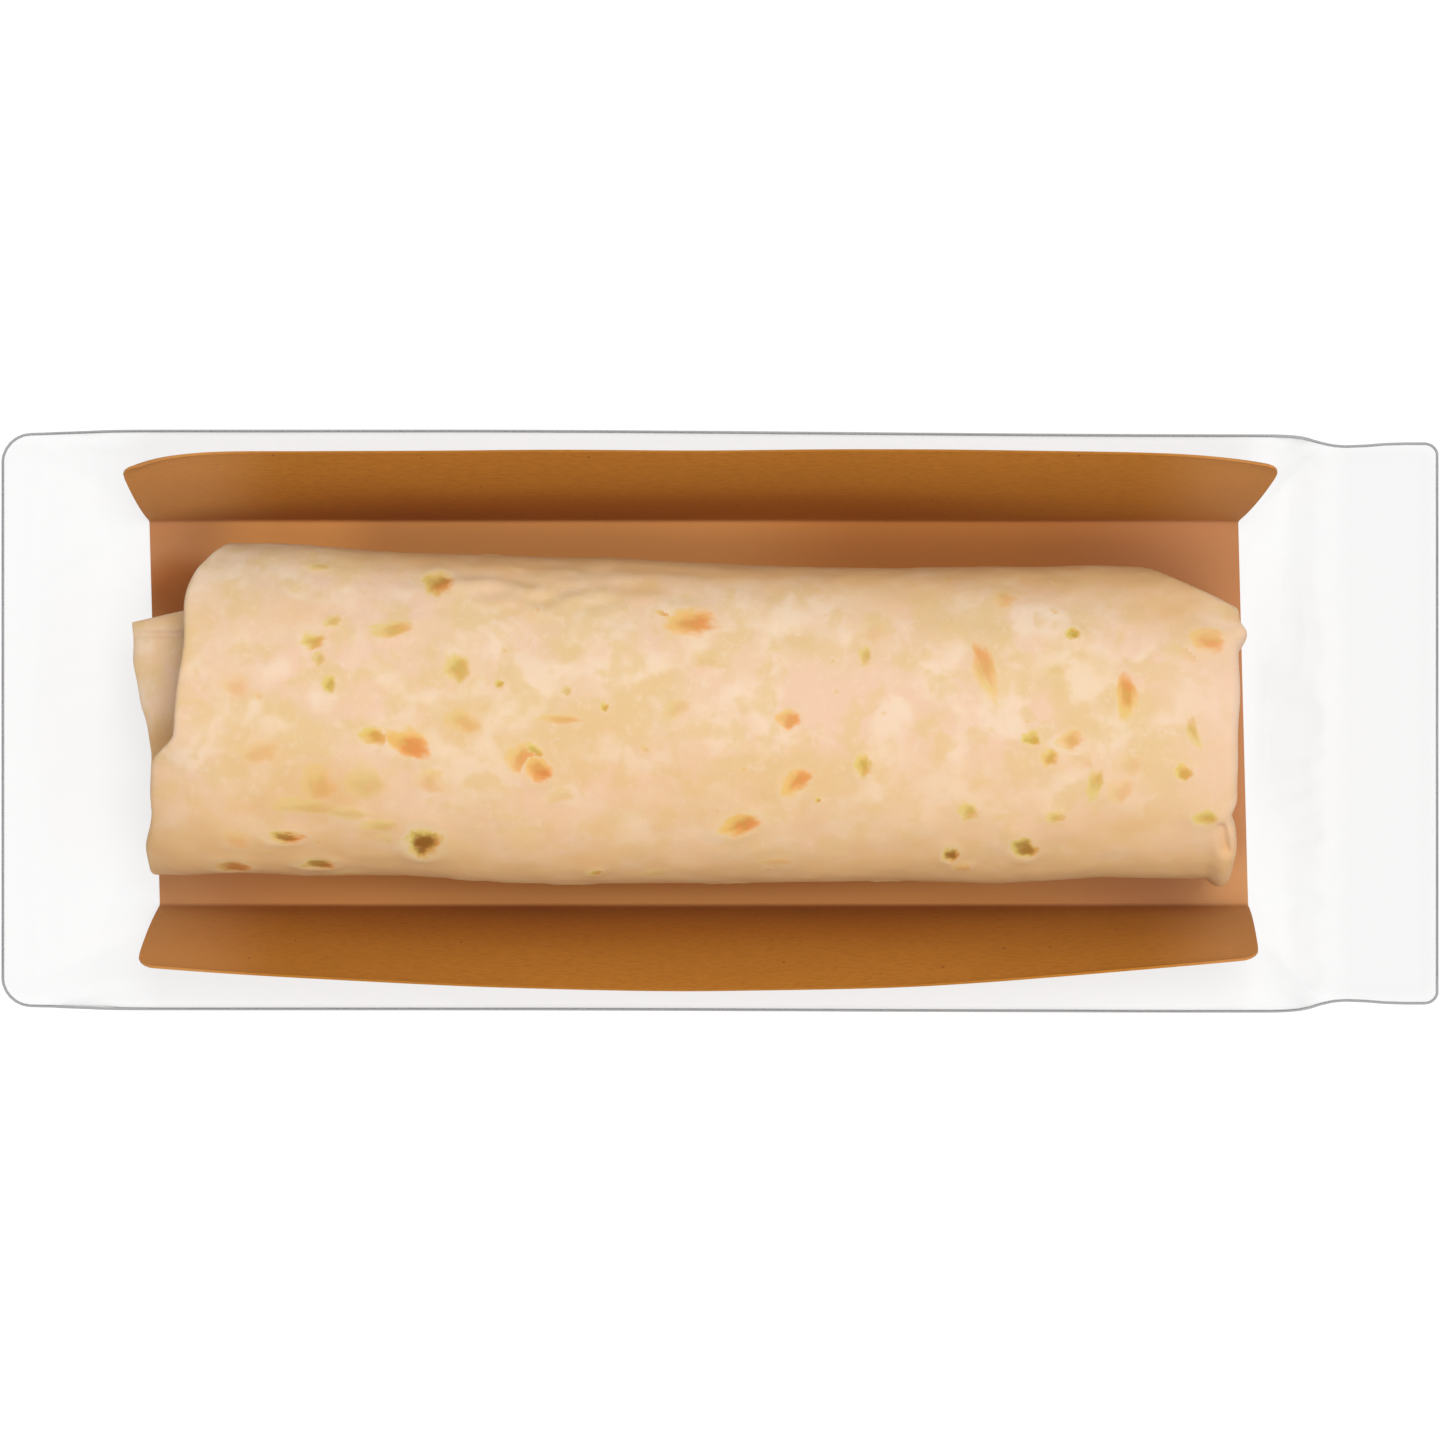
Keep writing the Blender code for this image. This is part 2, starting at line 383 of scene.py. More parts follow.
def kraft_board(tray):
    """Unbleached kraft board: brown wood fibres pressed flat, matt, with darker specks, with painted
    shade on its walls and painted light and shade on its floor.
    """
    material, tree = new_material("kraft_board_pressed")
    coords = add_node(tree, "TexCoord").outputs["Object"]
    place = add_node(tree, "SeparateXYZ", {"Vector": coords}).outputs
    grain = add_node(tree, "Mapping", {"Vector": coords, "Scale": (0.22, 1.0, 1.0)})
    fibres, clouds = (
        add_node(tree, "TexNoise", {
            "Vector": grain, "Scale": scale_of(size), "Detail": 3.0, "Roughness": roughness})
        for size, roughness in ((0.35, 0.62), (9.0, 0.55)))
    specks = add_node(tree, "TexVoronoi", {"Vector": coords, "Scale": scale_of(5.0)})
    board = layered(tree, rgba(tray.colour), (
        (fibres, 0.42, 0.78, 0.75, rgba(tray.fibre_colour)),
        (clouds, 0.35, 0.70, 0.30, rgba(linear("a86b20"))),
        (specks, 0.06, 0.035, 0.60, rgba(linear("6f4216")))), "LINEAR")

    shares = {}
    for name, (axis, middle, core, reach, most) in BOARD_STRETCHES.items():
        off_middle = add_node(tree, "Math", {0: place[axis], 1: middle}, operation="SUBTRACT")
        distance = add_node(tree, "Math", {0: off_middle}, operation="ABSOLUTE")
        shares[name] = add_node(tree, "MapRange", {
            "Value": distance, "From Min": reach, "From Max": core, "To Max": most},
            interpolation_type="SMOOTHSTEP")
    paled = add_node(tree, "Mix", {
        "Factor": 0.50, "A": board, "B": rgba(linear("cc9058"))}, data_type="RGBA")
    pale_ended = add_node(tree, "Mix", {
        "Factor": shares["between the pale ends"], "A": paled, "B": board}, data_type="RGBA")
    # Painted shade low on the walls, weaker on the near wall than on the far one.
    wall_shade = add_node(tree, "MapRange", {
        "Value": place["Y"], "From Min": -0.03, "From Max": 0.03, "To Min": 0.60, "To Max": 0.90})
    for name in ("shaded along", "shaded up"):
        wall_shade = add_node(tree, "Math", {0: wall_shade, 1: shares[name]}, operation="MULTIPLY")
    walls = add_node(tree, "Mix", {
        "Factor": wall_shade, "A": pale_ended, "B": rgba(tray.fold_shade_colour)}, data_type="RGBA")

    # The floor: painted shade at its open ends, painted light over its inner part, then the painted
    # shadows and lights below.
    floor = add_node(tree, "Mix", {
        "Factor": shares["floor's inner part"], "A": rgba(tray.end_shade_colour),
        "B": rgba(tray.floor_colour)}, data_type="RGBA")
    # Painted shadows beside the roll and the flap, and painted light near the ends.
    for x, y, half_length, half_width, strength, colour in FLOOR_SHADOWS_AND_LIGHTS:
        offset = add_node(tree, "VectorMath", {0: coords, 1: (x, y, 0.0)}, operation="SUBTRACT")
        in_sizes = add_node(tree, "VectorMath", {
            0: offset, 1: (1.0 / half_length, 1.0 / half_width, 0.0)}, operation="MULTIPLY")
        reached = add_node(tree, "VectorMath", {0: in_sizes}, operation="LENGTH")
        mark = (reached, 1.0, MARK_CORE, strength, rgba(linear(colour)))
        floor = layered(tree, floor, [mark])
    # Only the floor face, low down, takes the floor's painted colours.
    low = (place["Z"], FLOOR_FACE_HEIGHT * 2, FLOOR_FACE_HEIGHT, 0.85, floor)
    board = layered(tree, walls, [low], "LINEAR")
    bump = add_node(tree, "Bump", {"Height": fibres, "Strength": 0.35, "Distance": 0.04 * MM})
    shader = add_node(tree, "BsdfPrincipled", {
        "Base Color": board, "Roughness": 0.78, "Specular IOR Level": 0.3, "Normal": bump})
    add_node(tree, "OutputMaterial", {"Surface": shader})
    return material


class WRAPPACK_OT_tray(bpy.types.Operator):
    """Fold the kraft tray from a flat blank of board"""

    bl_idname = "wrap_pack.tray"
    bl_label = "Make Tray"

    def execute(self, context):
        tray = context.scene.wrap_tray
        across = FLOOR_STEPS + 2 * WALL_STEPS
        bm = bent_sheet(TRAY_STEPS, across, lambda i, j: tray_point(tray, i, j))
        bmesh.ops.recalc_face_normals(bm, faces=bm.faces)
        bmesh.ops.solidify(bm, geom=bm.faces[:], thickness=tray.board)
        bmesh.ops.recalc_face_normals(bm, faces=bm.faces)
        piece = new_piece("kraft_tray", bm, kraft_board(tray), sharp_degrees=50)
        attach(piece, "root")
        return {"FINISHED"}


# --- Tortilla ---

# The roll's two ends, as the outer layer's edge lies.
ROLL_LEFT = -0.0902
ROLL_RIGHT = 0.0875
ROLL_BASE = 0.0009
BASE_SINK = 0.0014
RIGHT_NARROWING = 0.0012
TOP_FALL = 0.0012
CENTRE_LEFT = 0.0020
CENTRE_RIGHT = -0.0007
CENTRE_RUN = 1.5
TOP_SQUARENESS = 2.25
WIDEST_SHARE = 0.985
BASE_SQUARENESS = 2.8

# How the roll's two sides wander from a straight run: places along the roll, and how far
# the far and the near side stand out there, in millimetres.
SIDE_PLACES = (-92, -82, -71, -54, -37, -20, -3, 14, 31, 48, 65, 78, 83.2, 85)
FAR_BULGES = (0.8, 0.7, 0.5, -0.3, 0.0, 0.5, 0.1, -0.2, -0.4, 0.2, 0.3, 0.2, 0.0, 0.0)
NEAR_BULGES = (0.8, 0.3, 1.0, 0.4, 1.2, 0.9, 0.6, 0.0, -0.3, 0.4, -0.6, -0.3, -0.3, 1.2)

# How deep and how long the small waves of both ends' edges are.
EDGE_SWAY = 0.0005
LEFT_SWAY_LENGTH = 0.009
RIGHT_SWAY_LENGTHS = (0.010, 0.012)

# The left end: its rounded far corner, and the near side, which runs on and hangs over.
FAR_CORNER_START = 0.0180
FAR_CORNER_REACH = 0.0110
FAR_CORNER_CUT = 0.0036
SLANT_LENGTH = 0.0018
SLANT_REACH = 0.0220
LIP_STEPS = ((-0.0022, 0.0058, 0.80), (-0.0150, 0.0080, 0.32))
LIP_LENGTH = 0.0052
LIP_BEND = 0.0130
LIP_DROOP = 0.0040
DROOP_RISE = 0.030
LIP_RISE = 0.016
MOUTH_DEPTH = 0.0045
# The tucked sheets' edges in the mouth: how steeply each slants, and its height in the middle.
MOUTH_EDGES = ((0.55, 0.0330), (-0.40, 0.0190), (0.20, 0.0080))
MOUTH_STEP = 0.0012
MOUTH_RUN_IN = 6
MOUTH_WANDER = 0.0020
MOUTH_WANDER_LENGTH = 0.009
MOUTH_WAVE = 0.0009
MOUTH_WAVE_LENGTH = 0.007

# The right end: the fillet into the end face, the far corner that is folded down along a
# line with a sloping facet above it, its tip, and the small fold low on the near side.
FACE_SINK = 0.0024
FACE_RUN_IN = 2
RELIEF_RUN_IN = 5
OVERLAP_SLOPE = 0.62
OVERLAP_MIDDLE = 0.0210
OVERLAP_STEP = 0.0015
OVERLAP_RUN = 0.0014
OVERLAP_WANDER_LENGTH = 0.012
FACE_CREASE = 0.0010
FACE_CREASE_WIDTH = 0.0012
FACE_CREASE_START = 0.004
FACE_CREASE_TOP = 0.043
FACE_CREASE_SLOPE = 0.55
FACE_DOME = 0.0012
FACE_DOME_LENGTH = 0.011
END_ROUND_TOP = 0.0024
END_ROUND_SIDE = 0.0018
END_ROUND_CHANGE = 1.5
FOLD_LINE = (Vector((0.0728, 0.0264)), Vector((0.0882, 0.0185)))
FACET_PLACE = Vector((0.0790, 0.0170, 0.0393))
FACET_FACING = Vector((0.05, 0.66, 0.75))
FACET_START = 0.0640
FACET_RUN_IN = 0.0060
FOLD_SOFTNESS = 0.0004
RIGHT_SLANT = 0.018
TIP_PLACE = Vector((0.0156, 0.0385))
TIP_SIZE = Vector((0.0015, 0.0040))
TIP_LENGTH = 0.0016
EAR_PLACE = Vector((-0.0232, 0.0280))
EAR_SIZE = Vector((0.0030, 0.0140))
EAR_LENGTH = 0.0010
WAIST_PLACE = -0.0172
WAIST_SIZE = 0.0018
WAIST_DEPTH = 0.0009
EAR_CREASE = (Vector((0.0848, -0.0183)), Vector((0.0856, -0.0222)))
CREASE_WIDTH = 0.0007
CREASE_DEPTH = 0.0014
CREASE_RISE = 0.030

# The free edge of the tortilla, high on the far side, as an angle round the section, and
# the stretch of the roll along which it stands off from the layer below it.
SEAM_ANGLE = math.radians(31)
SEAM_WANDER = math.radians(12)
# The waves of that edge: length along the roll, place in the noise and strength.
SEAM_WAVES = ((0.0210, 7.0, 1.0), (0.0048, 8.0, 0.45))
SEAM_FADE = math.radians(50)
SEAM_EDGE = math.radians(8.0)
SEAM_LEFT = -0.0450
SEAM_RIGHT = 0.0120
SEAM_RUN_OUT = 0.0200
SEAM_SHARE = 0.13

# The dough's own waves: how long each is, how far its noise is moved aside, and its share
# of the waviness. They fade out where the side faces down by more than this.
DOUGH_WAVES = ((0.0210, 3.0, 1.0), (0.0085, 0.0, 0.45), (0.0032, 0.0, 0.20))
SMOOTH_UNDERSIDE = 0.35
# The crumpled skin on the far side: its place along and across the roll, how far it
# reaches, how long its waves are, and how deep.
CRUMPLE_PLACE = (-0.0330, 0.0225)
CRUMPLE_REACH = (0.0200, 0.0050)
CRUMPLE_WAVES = (0.0060, 0.0024)
CRUMPLE_DEPTH = 0.0008

# How finely the roll is cut.
AROUND_STEPS = 236
MOUTH_STEPS = 14
RING_STEPS = {"inner": 6, "rim": 6, "body": 246, "fillet": 8, "face": 28}

# Toasted spots on the side that shows, as seen from above. Each has its place along and
# across the roll, its length and width in millimetres, how far its length is turned from
# the roll's axis in degrees, how brown it is and how strong it is.
TOASTED_SPOTS = (
    (-47.7, 23.0, 4.6, 4.8, 0, 0.50, 1.08),
    (-68.7, 13.3, 3.8, 2.6, 8, 0.30, 0.80),
    (-67.6, 10.4, 1.9, 2.2, 0, 0.10, 0.55),
    (-65.7, 6.1, 2.4, 2.6, 0, 0.05, 0.80),
    (-55.3, 15.3, 6.0, 2.8, 10, 0.30, 0.65),
    (-44.5, 8.9, 4.0, 4.6, 0, 0.12, 0.70),
    (-37.1, 6.1, 1.4, 1.4, 0, 0.10, 0.85),
    (-19.4, 2.2, 1.4, 1.4, 0, 0.10, 0.85),
    (-25.8, 4.9, 1.6, 1.4, 0, 0.10, 0.45),
    (-27.0, 0.2, 5.8, 1.6, 0, 0.60, 0.55),
    (-5.0, 16.5, 7.2, 4.6, -4, 0.80, 0.90),
    (-9.6, 17.6, 3.0, 1.0, -25, 0.55, 0.70),
    (-58.4, -2.5, 4.2, 3.0, -10, 0.35, 0.90),
    (-52.6, -3.7, 6.8, 4.0, -22, 0.85, 1.00),
    (-43.5, -0.2, 5.0, 4.0, 0, 0.45, 0.45),
    (-33.7, -6.1, 4.8, 4.4, 0, 0.70, 0.72),
    (-30.5, -8.4, 4.4, 3.6, -20, 0.95, 1.05),
    (-31.3, -4.9, 3.4, 1.7, -35, 0.10, 0.75),
    (11.3, 0.2, 3.6, 3.0, 0, 0.80, 0.80),
    (12.6, -10.3, 5.6, 3.6, 35, 0.75, 0.90),
    (16.5, -13.3, 0.9, 0.9, 0, 0.30, 0.90),
    (23.9, -7.4, 2.6, 4.0, 0, 0.15, 0.80),
    (24.4, 11.1, 2.2, 3.0, 0, 0.10, 0.60),
    (3.4, -17.6, 6.4, 3.2, 14, 0.75, 1.03),
    (44.7, 7.8, 9.0, 3.2, 108, 0.60, 0.66),
    (48.0, 20.6, 3.8, 3.4, 0, 0.65, 0.42),
    (59.3, 14.5, 2.4, 2.4, 0, 0.08, 0.95),
    (68.2, 3.9, 6.6, 3.0, 96, 0.62, 0.85),
    (82.2, 13.5, 5.6, 3.8, -10, 0.75, 0.68),
    (52.2, -3.2, 2.8, 2.2, 0, 0.10, 0.85),
    (55.3, -6.2, 2.8, 2.6, 0, 0.35, 0.80),
    (58.6, -3.5, 4.4, 2.9, 10, 0.55, 0.62),
    (63.2, -10.8, 4.6, 2.4, 75, 0.12, 0.65),
    (77.8, -8.6, 2.6, 2.8, 0, 0.28, 0.85),
    (79.7, -2.4, 4.8, 2.0, 110, 0.10, 0.55),
    (81.7, -16.3, 3.8, 3.0, 0, 0.12, 0.80),
    (41.8, -15.3, 3.0, 3.0, 0, 0.10, 0.70),
    (56.4, -16.3, 3.0, 2.0, 10, 0.15, 0.60),
    (51.4, -21.7, 3.8, 4.6, 20, 0.30, 1.14),
    (39.1, -22.9, 2.4, 3.2, 0, 0.50, 1.18),
    (-50.2, -20.4, 5.2, 6.0, 0, 0.30, 1.30),
    (-73.6, -19.7, 5.8, 2.4, 0, 0.60, 1.15),
    (-68.2, -24.1, 5.6, 3.0, 0, 0.60, 1.15),
    (-83.0, -24.5, 5.4, 4.6, 0, 0.95, 1.10),
    (-21.3, -25.0, 2.4, 1.9, 40, 0.45, 0.80),
    (-65.3, 16.5, 2.9, 1.9, 20, 0.08, 0.55),
    (-67.9, 25.6, 3.4, 1.7, 0, 0.20, 0.50),
    (-68.2, -10.8, 5.4, 6.0, 0, 0.50, 0.45),
    (-70.2, -14.6, 9.0, 2.8, 0, 0.20, 0.40),
    (-77.9, -5.4, 6.0, 3.4, 0, 0.55, 0.30),
    (-59.6, -10.2, 6.6, 5.0, 0, 0.10, 0.34),
    (-57.8, -17.7, 6.2, 2.0, 0, 0.10, 0.40),
    (-63.0, -15.6, 6.5, 2.4, -6, 0.20, 0.36),
    (9.2, -23.9, 5.3, 1.8, 0, 0.70, 0.35),
    (41.0, -25.0, 3.0, 2.6, 0, 0.70, 0.55),
)
MARK_SEED = 7
# Spots that lie at random: on the hidden sides, and faint marks all over. Each kind has its
# number, and the ranges of its angle round the roll in degrees, its tone and its strength.
# A spot's width is a share of its size, and its turn is in degrees.
RANDOM_SPOTS = {
    "hidden": (46, (172, 368), (0.05, 0.90), (0.60, 1.00)),
    "faint": (150, (-180, 180), (0.10, 0.90), (0.15, 0.40)),
}
HIDDEN_SPOT_SIZES = (0.8, 2.6)
FAINT_SPOT_SIZES = (0.3, 0.5, 0.8, 2.2)
SPOT_WIDTHS = (0.5, 1.0)
SPOT_TURNS = (-30, 30)
SPOT_REACH = 2.4
SPOT_DEPTH = 0.004
SPOT_WOBBLE = 1.7
SPOT_FRAY = 0.15
BLISTER_HEIGHT = 0.00022
BLISTER_RISE = 2.0
BLISTER_DIP = 0.6
DIP_RISE = 2.4

# Broad patches of darker dough on the side that shows; the three marked below are painted shade.
# Each has its place along and across the roll, its half length and half width in millimetres, and
# its strength.
TAN_PATCHES = (
    (-78.1, -5.6, 4.5, 3.5, 0.55),
    (-67.4, -11.5, 5.5, 4.5, 0.85),
    (-77.3, -14.5, 5.0, 2.2, 0.70),
    (-65.2, -14.5, 5.0, 2.2, 0.75),
    (-60.6, -10.9, 4.0, 3.0, 0.50),
    (-58.4, -18.2, 4.0, 2.2, 0.55),
    (-88.0, -21.0, 9.0, 6.0, 0.40),
    (-72.0, -22.0, 12.0, 4.0, 0.35),
    (-70.0, 18.0, 6.0, 3.0, 0.35),
    (-33.3, 20.2, 6.0, 3.0, 0.40),
    (-13.4, 21.9, 3.6, 2.4, 0.65),
    (-43.0, -1.0, 3.5, 3.0, 0.35),
    (-20.0, -1.5, 4.0, 3.0, 0.22),
    # Painted shade: the near half of the roll, turned from the light, is made darker.
    (-5.0, -10.0, 46.0, 7.0, 0.30),
    (30.0, 19.0, 10.0, 4.0, 0.25),
    (75.5, 18.8, 6.5, 4.2, 0.70),
    (71.0, -17.5, 9.0, 3.0, 0.40),
    (60.0, -20.0, 8.0, 3.5, 0.30),
    # Painted shadow in the notch under the roll, beside the ear.
    (84.0, -26.6, 1.8, 1.4, 0.80),
    # Painted shade on the flap's hem band, which slants away from the light.
    (-97.0, 17.4, 9.0, 1.6, 0.60),
    (-91.5, 10.0, 2.2, 4.0, 0.40),
)
# Painted shade: the dough is made tan low on the roll's sides, where they turn from the light and
# take the board's warm bounce, as well as for its own darker colour there.
TAN_TOP = {"near": 0.0445, "far": 0.0385}
TAN_DEPTH = {"near": 0.0115, "far": 0.0065}
TAN_CHANGE = 0.0080
TAN_LEFT = -0.0800
TAN_RUN_OUT = 0.0300
TAN_PATCH_BASE = 0.0200

# Cloudy patches of the dough, from broad to fine: the size of a patch in millimetres, where
# it sets in, where it is full, how strong it is, and which of the roll's colours it has.
DOUGH_CLOUDS = (
    (16.0, 0.40, 0.62, 0.85, "pink_colour"),
    (12.0, 0.44, 0.66, 0.85, "yellow_colour"),
    (8.0, 0.46, 0.66, 0.70, "pale_colour"),
    (5.0, 0.48, 0.66, 0.75, "yellow_colour"),
    (1.8, 0.52, 0.78, 0.40, "pale_colour"),
)
# How far each size of noise is moved aside, so that no two fall together.
CLOUDS_ASIDE = {
    16.0: 0.0, 12.0: 0.31, 8.0: 0.57, 6.0: 0.23, 5.0: 0.83, 1.8: 0.11, 1.3: 0.71, 0.9: 0.47}


def roll_form(roll, x):
    """Centre, half width, middle height and half height of the roll's section at x."""
    share = min(max((x - ROLL_LEFT) / (ROLL_RIGHT - ROLL_LEFT), 0.0), 1.0)
    centre = mix(CENTRE_LEFT, CENTRE_RIGHT, ease(share * CENTRE_RUN))
    half_width = roll.half_width - RIGHT_NARROWING * share
    top = roll.top - TOP_FALL * ease(share)
    low = ROLL_BASE - BASE_SINK
    return centre, half_width, (top + low) / 2, (top - low) / 2


def superellipse(angle):
    """Across and up, each from -1 to 1, round a section that is a little square."""
    up = math.sin(angle)
    power = 2.0 / (TOP_SQUARENESS if up > 0 else BASE_SQUARENESS)
    return curved(math.cos(angle), power), curved(up, power)


def seam_step(roll, x, angle):
    """How far the surface lies in just past the free edge, one layer below it."""
    waves = sum(
        share * wander((x / length, place, 0.0)) for length, place, share in SEAM_WAVES)
    past = SEAM_ANGLE + SEAM_WANDER * waves - (angle if angle < math.pi else angle - math.tau)
    if past < 0.0:
        return 0.0
    along = ease((x - SEAM_LEFT) / SEAM_RUN_OUT) * ease((SEAM_RIGHT - x) / SEAM_RUN_OUT)
    return SEAM_SHARE * roll.layer * ease(past / SEAM_EDGE) * bell(past, SEAM_FADE) * along


def left_edge(y, z):
    """Where the outer layer's left edge lies at this place round the mouth of the roll."""
    corner = FAR_CORNER_CUT * (max(y - FAR_CORNER_START, 0.0) / FAR_CORNER_REACH) ** 3
    slant = SLANT_LENGTH * ease((FAR_CORNER_START - y) / SLANT_REACH)
    lip = LIP_LENGTH * lip_weight(y) * ease((z - ROLL_BASE) / LIP_RISE)
    sway = EDGE_SWAY * wander((y / LEFT_SWAY_LENGTH, z / LEFT_SWAY_LENGTH, 2.0))
    return ROLL_LEFT + corner - slant - lip + sway


def lip_weight(y):
    """How much the place at y belongs to the hanging lip, which stands out in two steps."""
    return sum(share * ease((start - y) / reach) for start, reach, share in LIP_STEPS)


def bump(y, z, place, size):
    """A soft bump of an end face, 1 in its middle."""
    return bell(y - place.x, size.x) * bell(z - place.y, size.y)


def right_edge(y, z):
    """Where the roll's right end turns in, with the folded corner's tip and the ear."""
    sway = EDGE_SWAY * wander((y / RIGHT_SWAY_LENGTHS[0], z / RIGHT_SWAY_LENGTHS[1], 9.0))
    tip = TIP_LENGTH * bump(y, z, TIP_PLACE, TIP_SIZE)
    ear = EAR_LENGTH * bump(y, z, EAR_PLACE, EAR_SIZE)
    waist = WAIST_DEPTH * bell(y - WAIST_PLACE, WAIST_SIZE)
    return ROLL_RIGHT + RIGHT_SLANT * y + sway + tip + ear - waist


def end_round(angle):
    """Radius of the bend from the roll's side into its right end, tighter at the sides."""
    return mix(END_ROUND_SIDE, END_ROUND_TOP, abs(math.sin(angle)) ** END_ROUND_CHANGE)


def mouth_relief(y, z):
    """How deep the tucked side lies in the left mouth: sheets one over another."""
    moved = MOUTH_WANDER * wander((y / MOUTH_WANDER_LENGTH, z / MOUTH_WANDER_LENGTH, 4.0))
    steps = sum(
        ease((z - slant * y - height + moved) / MOUTH_STEP + 0.5)
        for slant, height in MOUTH_EDGES)
    wave = MOUTH_WAVE * wander((y / MOUTH_WAVE_LENGTH, z / MOUTH_WAVE_LENGTH, 5.0))
    return MOUTH_STEP * (steps - len(MOUTH_EDGES) / 2) + wave


def face_relief(y, z):
    """The right end's two tucked sides, which overlap along a slanting edge."""
    moved = OVERLAP_STEP * wander((y / OVERLAP_WANDER_LENGTH, 1.0, z / OVERLAP_WANDER_LENGTH))
    slant = y * OVERLAP_SLOPE + (z - OVERLAP_MIDDLE) + moved
    overlap = OVERLAP_STEP * ease(slant / OVERLAP_RUN + 0.5)
    crease_place = FACE_CREASE_START + FACE_CREASE_SLOPE * (FACE_CREASE_TOP - z)
    crease = -FACE_CREASE * bell(abs(y) - crease_place, FACE_CREASE_WIDTH)
    dome = FACE_DOME * wander((y / FACE_DOME_LENGTH, z / FACE_DOME_LENGTH, 6.0))
    return overlap + crease + dome - FACE_SINK


def tuck(point):
    """Fold the far right corner down: a sloping facet above, a straight side below."""
    along = (FOLD_LINE[1] - FOLD_LINE[0]).normalized()
    outward = Vector((-along.y, along.x, 0.0))
    edge = Vector((*FOLD_LINE[0], 0.0))
    near_end = ease((point.x - FACET_START) / FACET_RUN_IN)
    for facing, place, share in (
            (outward, edge, 1.0), (FACET_FACING.normalized(), FACET_PLACE, near_end)):
        beyond = min(facing.dot(point - place) / FOLD_SOFTNESS, 50.0)
        excess = facing.dot(point - place) - beyond * FOLD_SOFTNESS
        move = excess + FOLD_SOFTNESS * math.log1p(math.exp(beyond))
        point = point - facing * move * share
    return point


def ear_crease(point):
    """How deep the crease beside the ear is at a point of the roll's side."""
    start, end = EAR_CREASE
    along = end - start
    place = Vector((point.x, point.y)) - start
    share = min(max(place.dot(along) / along.length_squared, 0.0), 1.0)
    off_line = (place - along * share).length
    return CREASE_DEPTH * bell(off_line, CREASE_WIDTH) * ease(point.z / CREASE_RISE)


def roll_rings():
    """The rings that the roll is cut into, from the mouth's middle to the right face's."""
    rings = [("mouth", 1.0 - i / MOUTH_STEPS) for i in range(MOUTH_STEPS)]
    rings += [(kind, i / steps) for kind, steps in RING_STEPS.items() for i in range(steps)]
    return rings + [("face", 1.0)]


def side_bulge(x, far):
    """How far one side of the roll stands out at x."""
    bulges = FAR_BULGES if far else NEAR_BULGES
    return MM * float(np.interp(x / MM, SIDE_PLACES, bulges))


def section_point(roll, x, angle, inset, shrink=0.0):
    """A point of the section at x, moved in by an inset and drawn to the middle."""
    centre, half_width, middle, half_height = roll_form(roll, x)
    across, up = superellipse(angle)
    keep = 1.0 - shrink
    half_width += side_bulge(x, across > 0) * across * across
    y = centre + (half_width - inset) * across * keep
    z = middle + (half_height - inset) * up * keep
    return y, z


def roll_point(roll, ring, angle):
    """Where one point of the roll lies, before its surface is made uneven."""
    kind, share = ring
    half_layer = roll.layer / 2
    left = left_edge(*section_point(roll, ROLL_LEFT, angle, 0.0))
    right = right_edge(*section_point(roll, ROLL_RIGHT, angle, 0.0))
    radius = end_round(angle)
    inset = 0.0
    shrink = 0.0
    if kind == "mouth":
        inset = roll.layer
        shrink = share
        y, z = section_point(roll, ROLL_LEFT, angle, inset, shrink)
        x = ROLL_LEFT + MOUTH_DEPTH + mouth_relief(y, z) * ease(shrink * MOUTH_RUN_IN)
    elif kind == "inner":
        inset = roll.layer
        x = mix(ROLL_LEFT + MOUTH_DEPTH, left + half_layer, share)
    elif kind == "rim":
        turn = math.pi * share
        inset = half_layer * (1 + math.cos(turn))
        x = left + half_layer * (1 - math.sin(turn))
    elif kind == "body":
        x = mix(left + half_layer, right - radius, share)
    elif kind == "fillet":
        turn = math.pi / 2 * share
        inset = radius * (1 - math.cos(turn))
        x = right - radius * (1 - math.sin(turn))
    else:
        inset = radius
        shrink = share
        y, z = section_point(roll, ROLL_RIGHT, angle, inset, shrink)
        flattened = mix(right, ROLL_RIGHT, ease(share * FACE_RUN_IN))
        x = flattened + face_relief(y, z) * ease(share * RELIEF_RUN_IN)
    if kind != "mouth":
        inset += seam_step(roll, x, angle) * (1.0 - shrink)
    y, z = section_point(roll, x, angle, inset, shrink)
    if kind in ("inner", "rim", "body"):
        hanging = max((ROLL_LEFT - LIP_LENGTH + LIP_BEND - x) / LIP_BEND, 0.0)
        z -= LIP_DROOP * lip_weight(y) * hanging ** 2 * ease((z - ROLL_BASE) / DROOP_RISE)
    return Vector((x, y, z))


def unevenness(roll, point, up):
    """How far the baked sheet stands proud or sinks at a point, in metres."""
    proud = 0.0
    for length, aside, share in DOUGH_WAVES:
        proud += wander(point / length + Vector((0.0, aside, 0.0))) * roll.waviness * share
    near_x, near_y = (
        bell(value - place, reach)
        for value, place, reach in zip(point, CRUMPLE_PLACE, CRUMPLE_REACH))
    waves = wander((point.x / CRUMPLE_WAVES[0], point.y / CRUMPLE_WAVES[1], 1.0))
    proud += waves * (near_x * near_y) * CRUMPLE_DEPTH
    return proud * ease(SMOOTH_UNDERSIDE + up)


def outward_at(roll, point):
    """The direction that the roll's side faces at a point."""
    centre, half_width, middle, half_height = roll_form(roll, point.x)
    facing = Vector((
        0.0,
        (point.y - centre) / half_width ** 2,
        (point.z - middle) / half_height ** 2,
    ))
    return facing.normalized() if facing.length > 1e-9 else Vector((0.0, 0.0, 1.0))


def top_at(roll, x, y):
    """Height of the roll's upper surface at a place seen from above."""
    centre, half_width, middle, half_height = roll_form(roll, x)
    across = min(abs(y - centre) / half_width, WIDEST_SHARE)
    return middle + half_height * (1.0 - across ** TOP_SQUARENESS) ** (1.0 / TOP_SQUARENESS)


